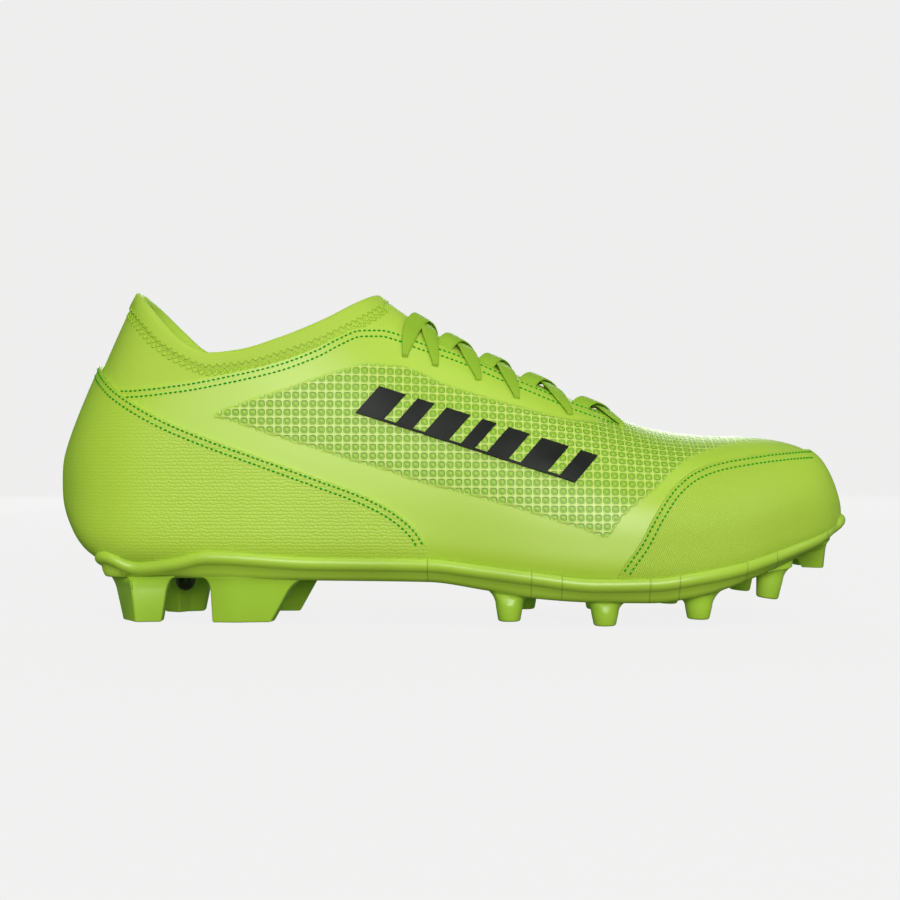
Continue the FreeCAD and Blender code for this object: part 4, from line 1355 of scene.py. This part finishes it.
# %% Rows of stitches
def sewing_thread(name, colour, dark, light):
    """Twisted thread in two tones."""
    finish = Finish(name, colour, 0.6, Specular_IOR_Level=0.2)
    twist = finish.noise(finish.place(), 2200.0, 2.0)
    finish.feed(Base_Color=finish.mix(twist.ramp(0.3, 0.7), dark, light),
                Roughness=twist * 0.3 + 0.4, Normal=finish.bump(twist, 0.0001, 0.4))
    return finish


thread_green = sewing_thread("thread_green", (0.01, 0.28, 0.005), (0.006, 0.28, 0.003), (0.015, 0.42, 0.01))
thread_lime = sewing_thread("thread_lime", (0.46, 0.65, 0.055), (0.42, 0.62, 0.045), (0.50, 0.68, 0.07))
both = (LATERAL, MEDIAL)
rows = (1.0, 3.15)
HEM_ROWS = ((-1.1, 0.0), (0.7, -0.5), (1.9, -0.5))
DOUBLE = {"pitch": 1.8, "length": 1.15, "radius": 0.33, "sunk": 0.14}
throat_seam = stitches("throat_stitches", [seam_path(side, inside(THROAT, gap, -121 + gap, 59), 0.0)
                                           for side in both for gap in rows], **DOUBLE)
heel_seam = stitches("heel_stitches", [seam_path(side, inside(HEEL_EDGE, gap, -134, -9.5), FILM_LIFT)
                                       for side in both for gap in rows], **DOUBLE)
toe_seam = stitches("toe_stitches", [seam_path(side, inside(TOE_EDGE, gap, 58, 132), FILM_LIFT)
                                     for side in both for gap in rows], **DOUBLE)
for seam in (throat_seam, heel_seam, toe_seam):
    dress(seam, thread_green)
hem_seam = stitches("hem_zigzag", [seam_path(side, inside(HEM, gap, -119.5, -25.5), lift)
                                   for side in both for gap, lift in HEM_ROWS],
                    pitch=1.3, length=1.2, radius=0.2, sunk=0.05, zigzag=0.7)
dress(hem_seam, thread_lime)
print("stitches", [len(o.data.polygons) for o in (throat_seam, heel_seam, toe_seam, hem_seam)])

# %% [markdown]
# ## Printed mark
# The raised black mark on the outer side is a row of slanted bars on a thin joining line. Each bar
# is a small grid laid on the last and given a thickness, so that it follows the skin's curve.

# %% Mark
BARS = (9.5, 6.0, 8.5, 5.0, 7.5, 9.5, 6.0)
BAR_GAP, RISE, SLANT, LINE, FALL = 4.2, 9.6, 8.4, 0.7, 0.32
MARK_X, MARK_Z = -35.0, 75.6


def bar(name, start, width, low, high):
    """One slanted bar: a grid between four corners, following the outer side."""
    wide, tall = max(3, round(width / 0.8)), max(2, round((high - low) / 0.8))
    columns, stretch = [], []
    for i in range(wide + 1):
        ups = [low + (high - low) * j / tall for j in range(tall + 1)]
        run = width * i / wide
        spots = [(MARK_X + start + run + SLANT * up / RISE, MARK_Z - FALL * (start + run) + up)
                 for up in ups]
        columns.append([skin_point(LATERAL, x, z, 0.45)[0] for x, z in spots])
        stretch.append([(x * MM, z * MM) for x, z in spots])
    piece = thicken(close_up(sheet(name, columns, stretch)), 0.7, 30)
    edge = piece.modifiers.new("soft edges", "BEVEL")
    edge.width, edge.segments, edge.limit_method = 0.12 * MM, 2, "ANGLE"
    return apply_all(piece)


pieces, start = [], 0.0
for number, width in enumerate(BARS):
    pieces.append(bar(f"bar_{number}", start, width, 0.0, RISE))
    start += width + BAR_GAP
pieces.append(bar("joining_line", 0.0, start - BAR_GAP, 0.0, LINE))
keep_only(pieces[0])
for piece in pieces[1:]:
    piece.select_set(True)
bpy.ops.object.join()
mark = bpy.context.object
mark.name = mark.data.name = "printed_mark"
ink = Finish("print_black", (0.014, 0.014, 0.015), 0.5, Specular_IOR_Level=0.2)
grain = ink.noise(ink.place(), 1600.0, 3.0)
patch = ink.noise(ink.place(), 45.0, 2.0)
ink.feed(Base_Color=ink.mix(patch.ramp(0.35, 0.7), (0.005, 0.005, 0.006), (0.02, 0.02, 0.022)),
         Roughness=grain * 0.25 + 0.35, Normal=ink.bump(grain, 0.00006, 0.5))
dress(mark, ink)
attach(mark, "boot")
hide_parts("side_mark")
print("printed_mark", len(mark.data.polygons), "faces")

# %% [markdown]
# ## Layers inside
# Stiffeners, backing, collar foam and board stay as they are in the frame, between the skin and
# the lining; they only need their finishes: fleecy board, speckled foam and plain woven backing.

# %% Finishes of the inner layers
def fibrous(name, colour, scale, depth):
    """Pressed fibre or felt: long specks in all directions."""
    felt = Finish(name, colour, 0.9)
    long = felt.noise(felt.place(), scale, 5.0, 0.65)
    speck = felt.noise(felt.place(), scale * 5, 2.0)
    felt.feed(Base_Color=felt.mix(long.ramp(0.35, 0.65), colour, shade(colour, 0.7)),
              Roughness=speck * 0.15 + 0.8, Normal=felt.bump(long + speck * 0.5, depth, 0.5))
    return felt


inner = {
    "insole_board": fibrous("pressed_board", (0.55, 0.50, 0.40), 300.0, 0.0002),
    "heel_counter": fibrous("counter_board", (0.50, 0.50, 0.48), 350.0, 0.0002),
    "toe_puff": fibrous("puff_board", (0.50, 0.50, 0.48), 350.0, 0.0002),
    "collar_foam": fibrous("collar_foam_cells", (0.40, 0.58, 0.10), 900.0, 0.0003),
    "upper_backing": fibrous("woven_backing", (0.30, 0.50, 0.04), 700.0, 0.00015),
    "eyestay": fibrous("eyestay_tape", (0.34, 0.55, 0.04), 700.0, 0.00015),
}
for node, finish in inner.items():
    dress(nodes[node], finish)
print("inner layers", len(inner))

# %% [markdown]
# ## End
# The visual boot is made in the imported model's frame, at its size; the script ends with nothing
# selected.

# %% Finish
bpy.ops.object.select_all(action="DESELECT")
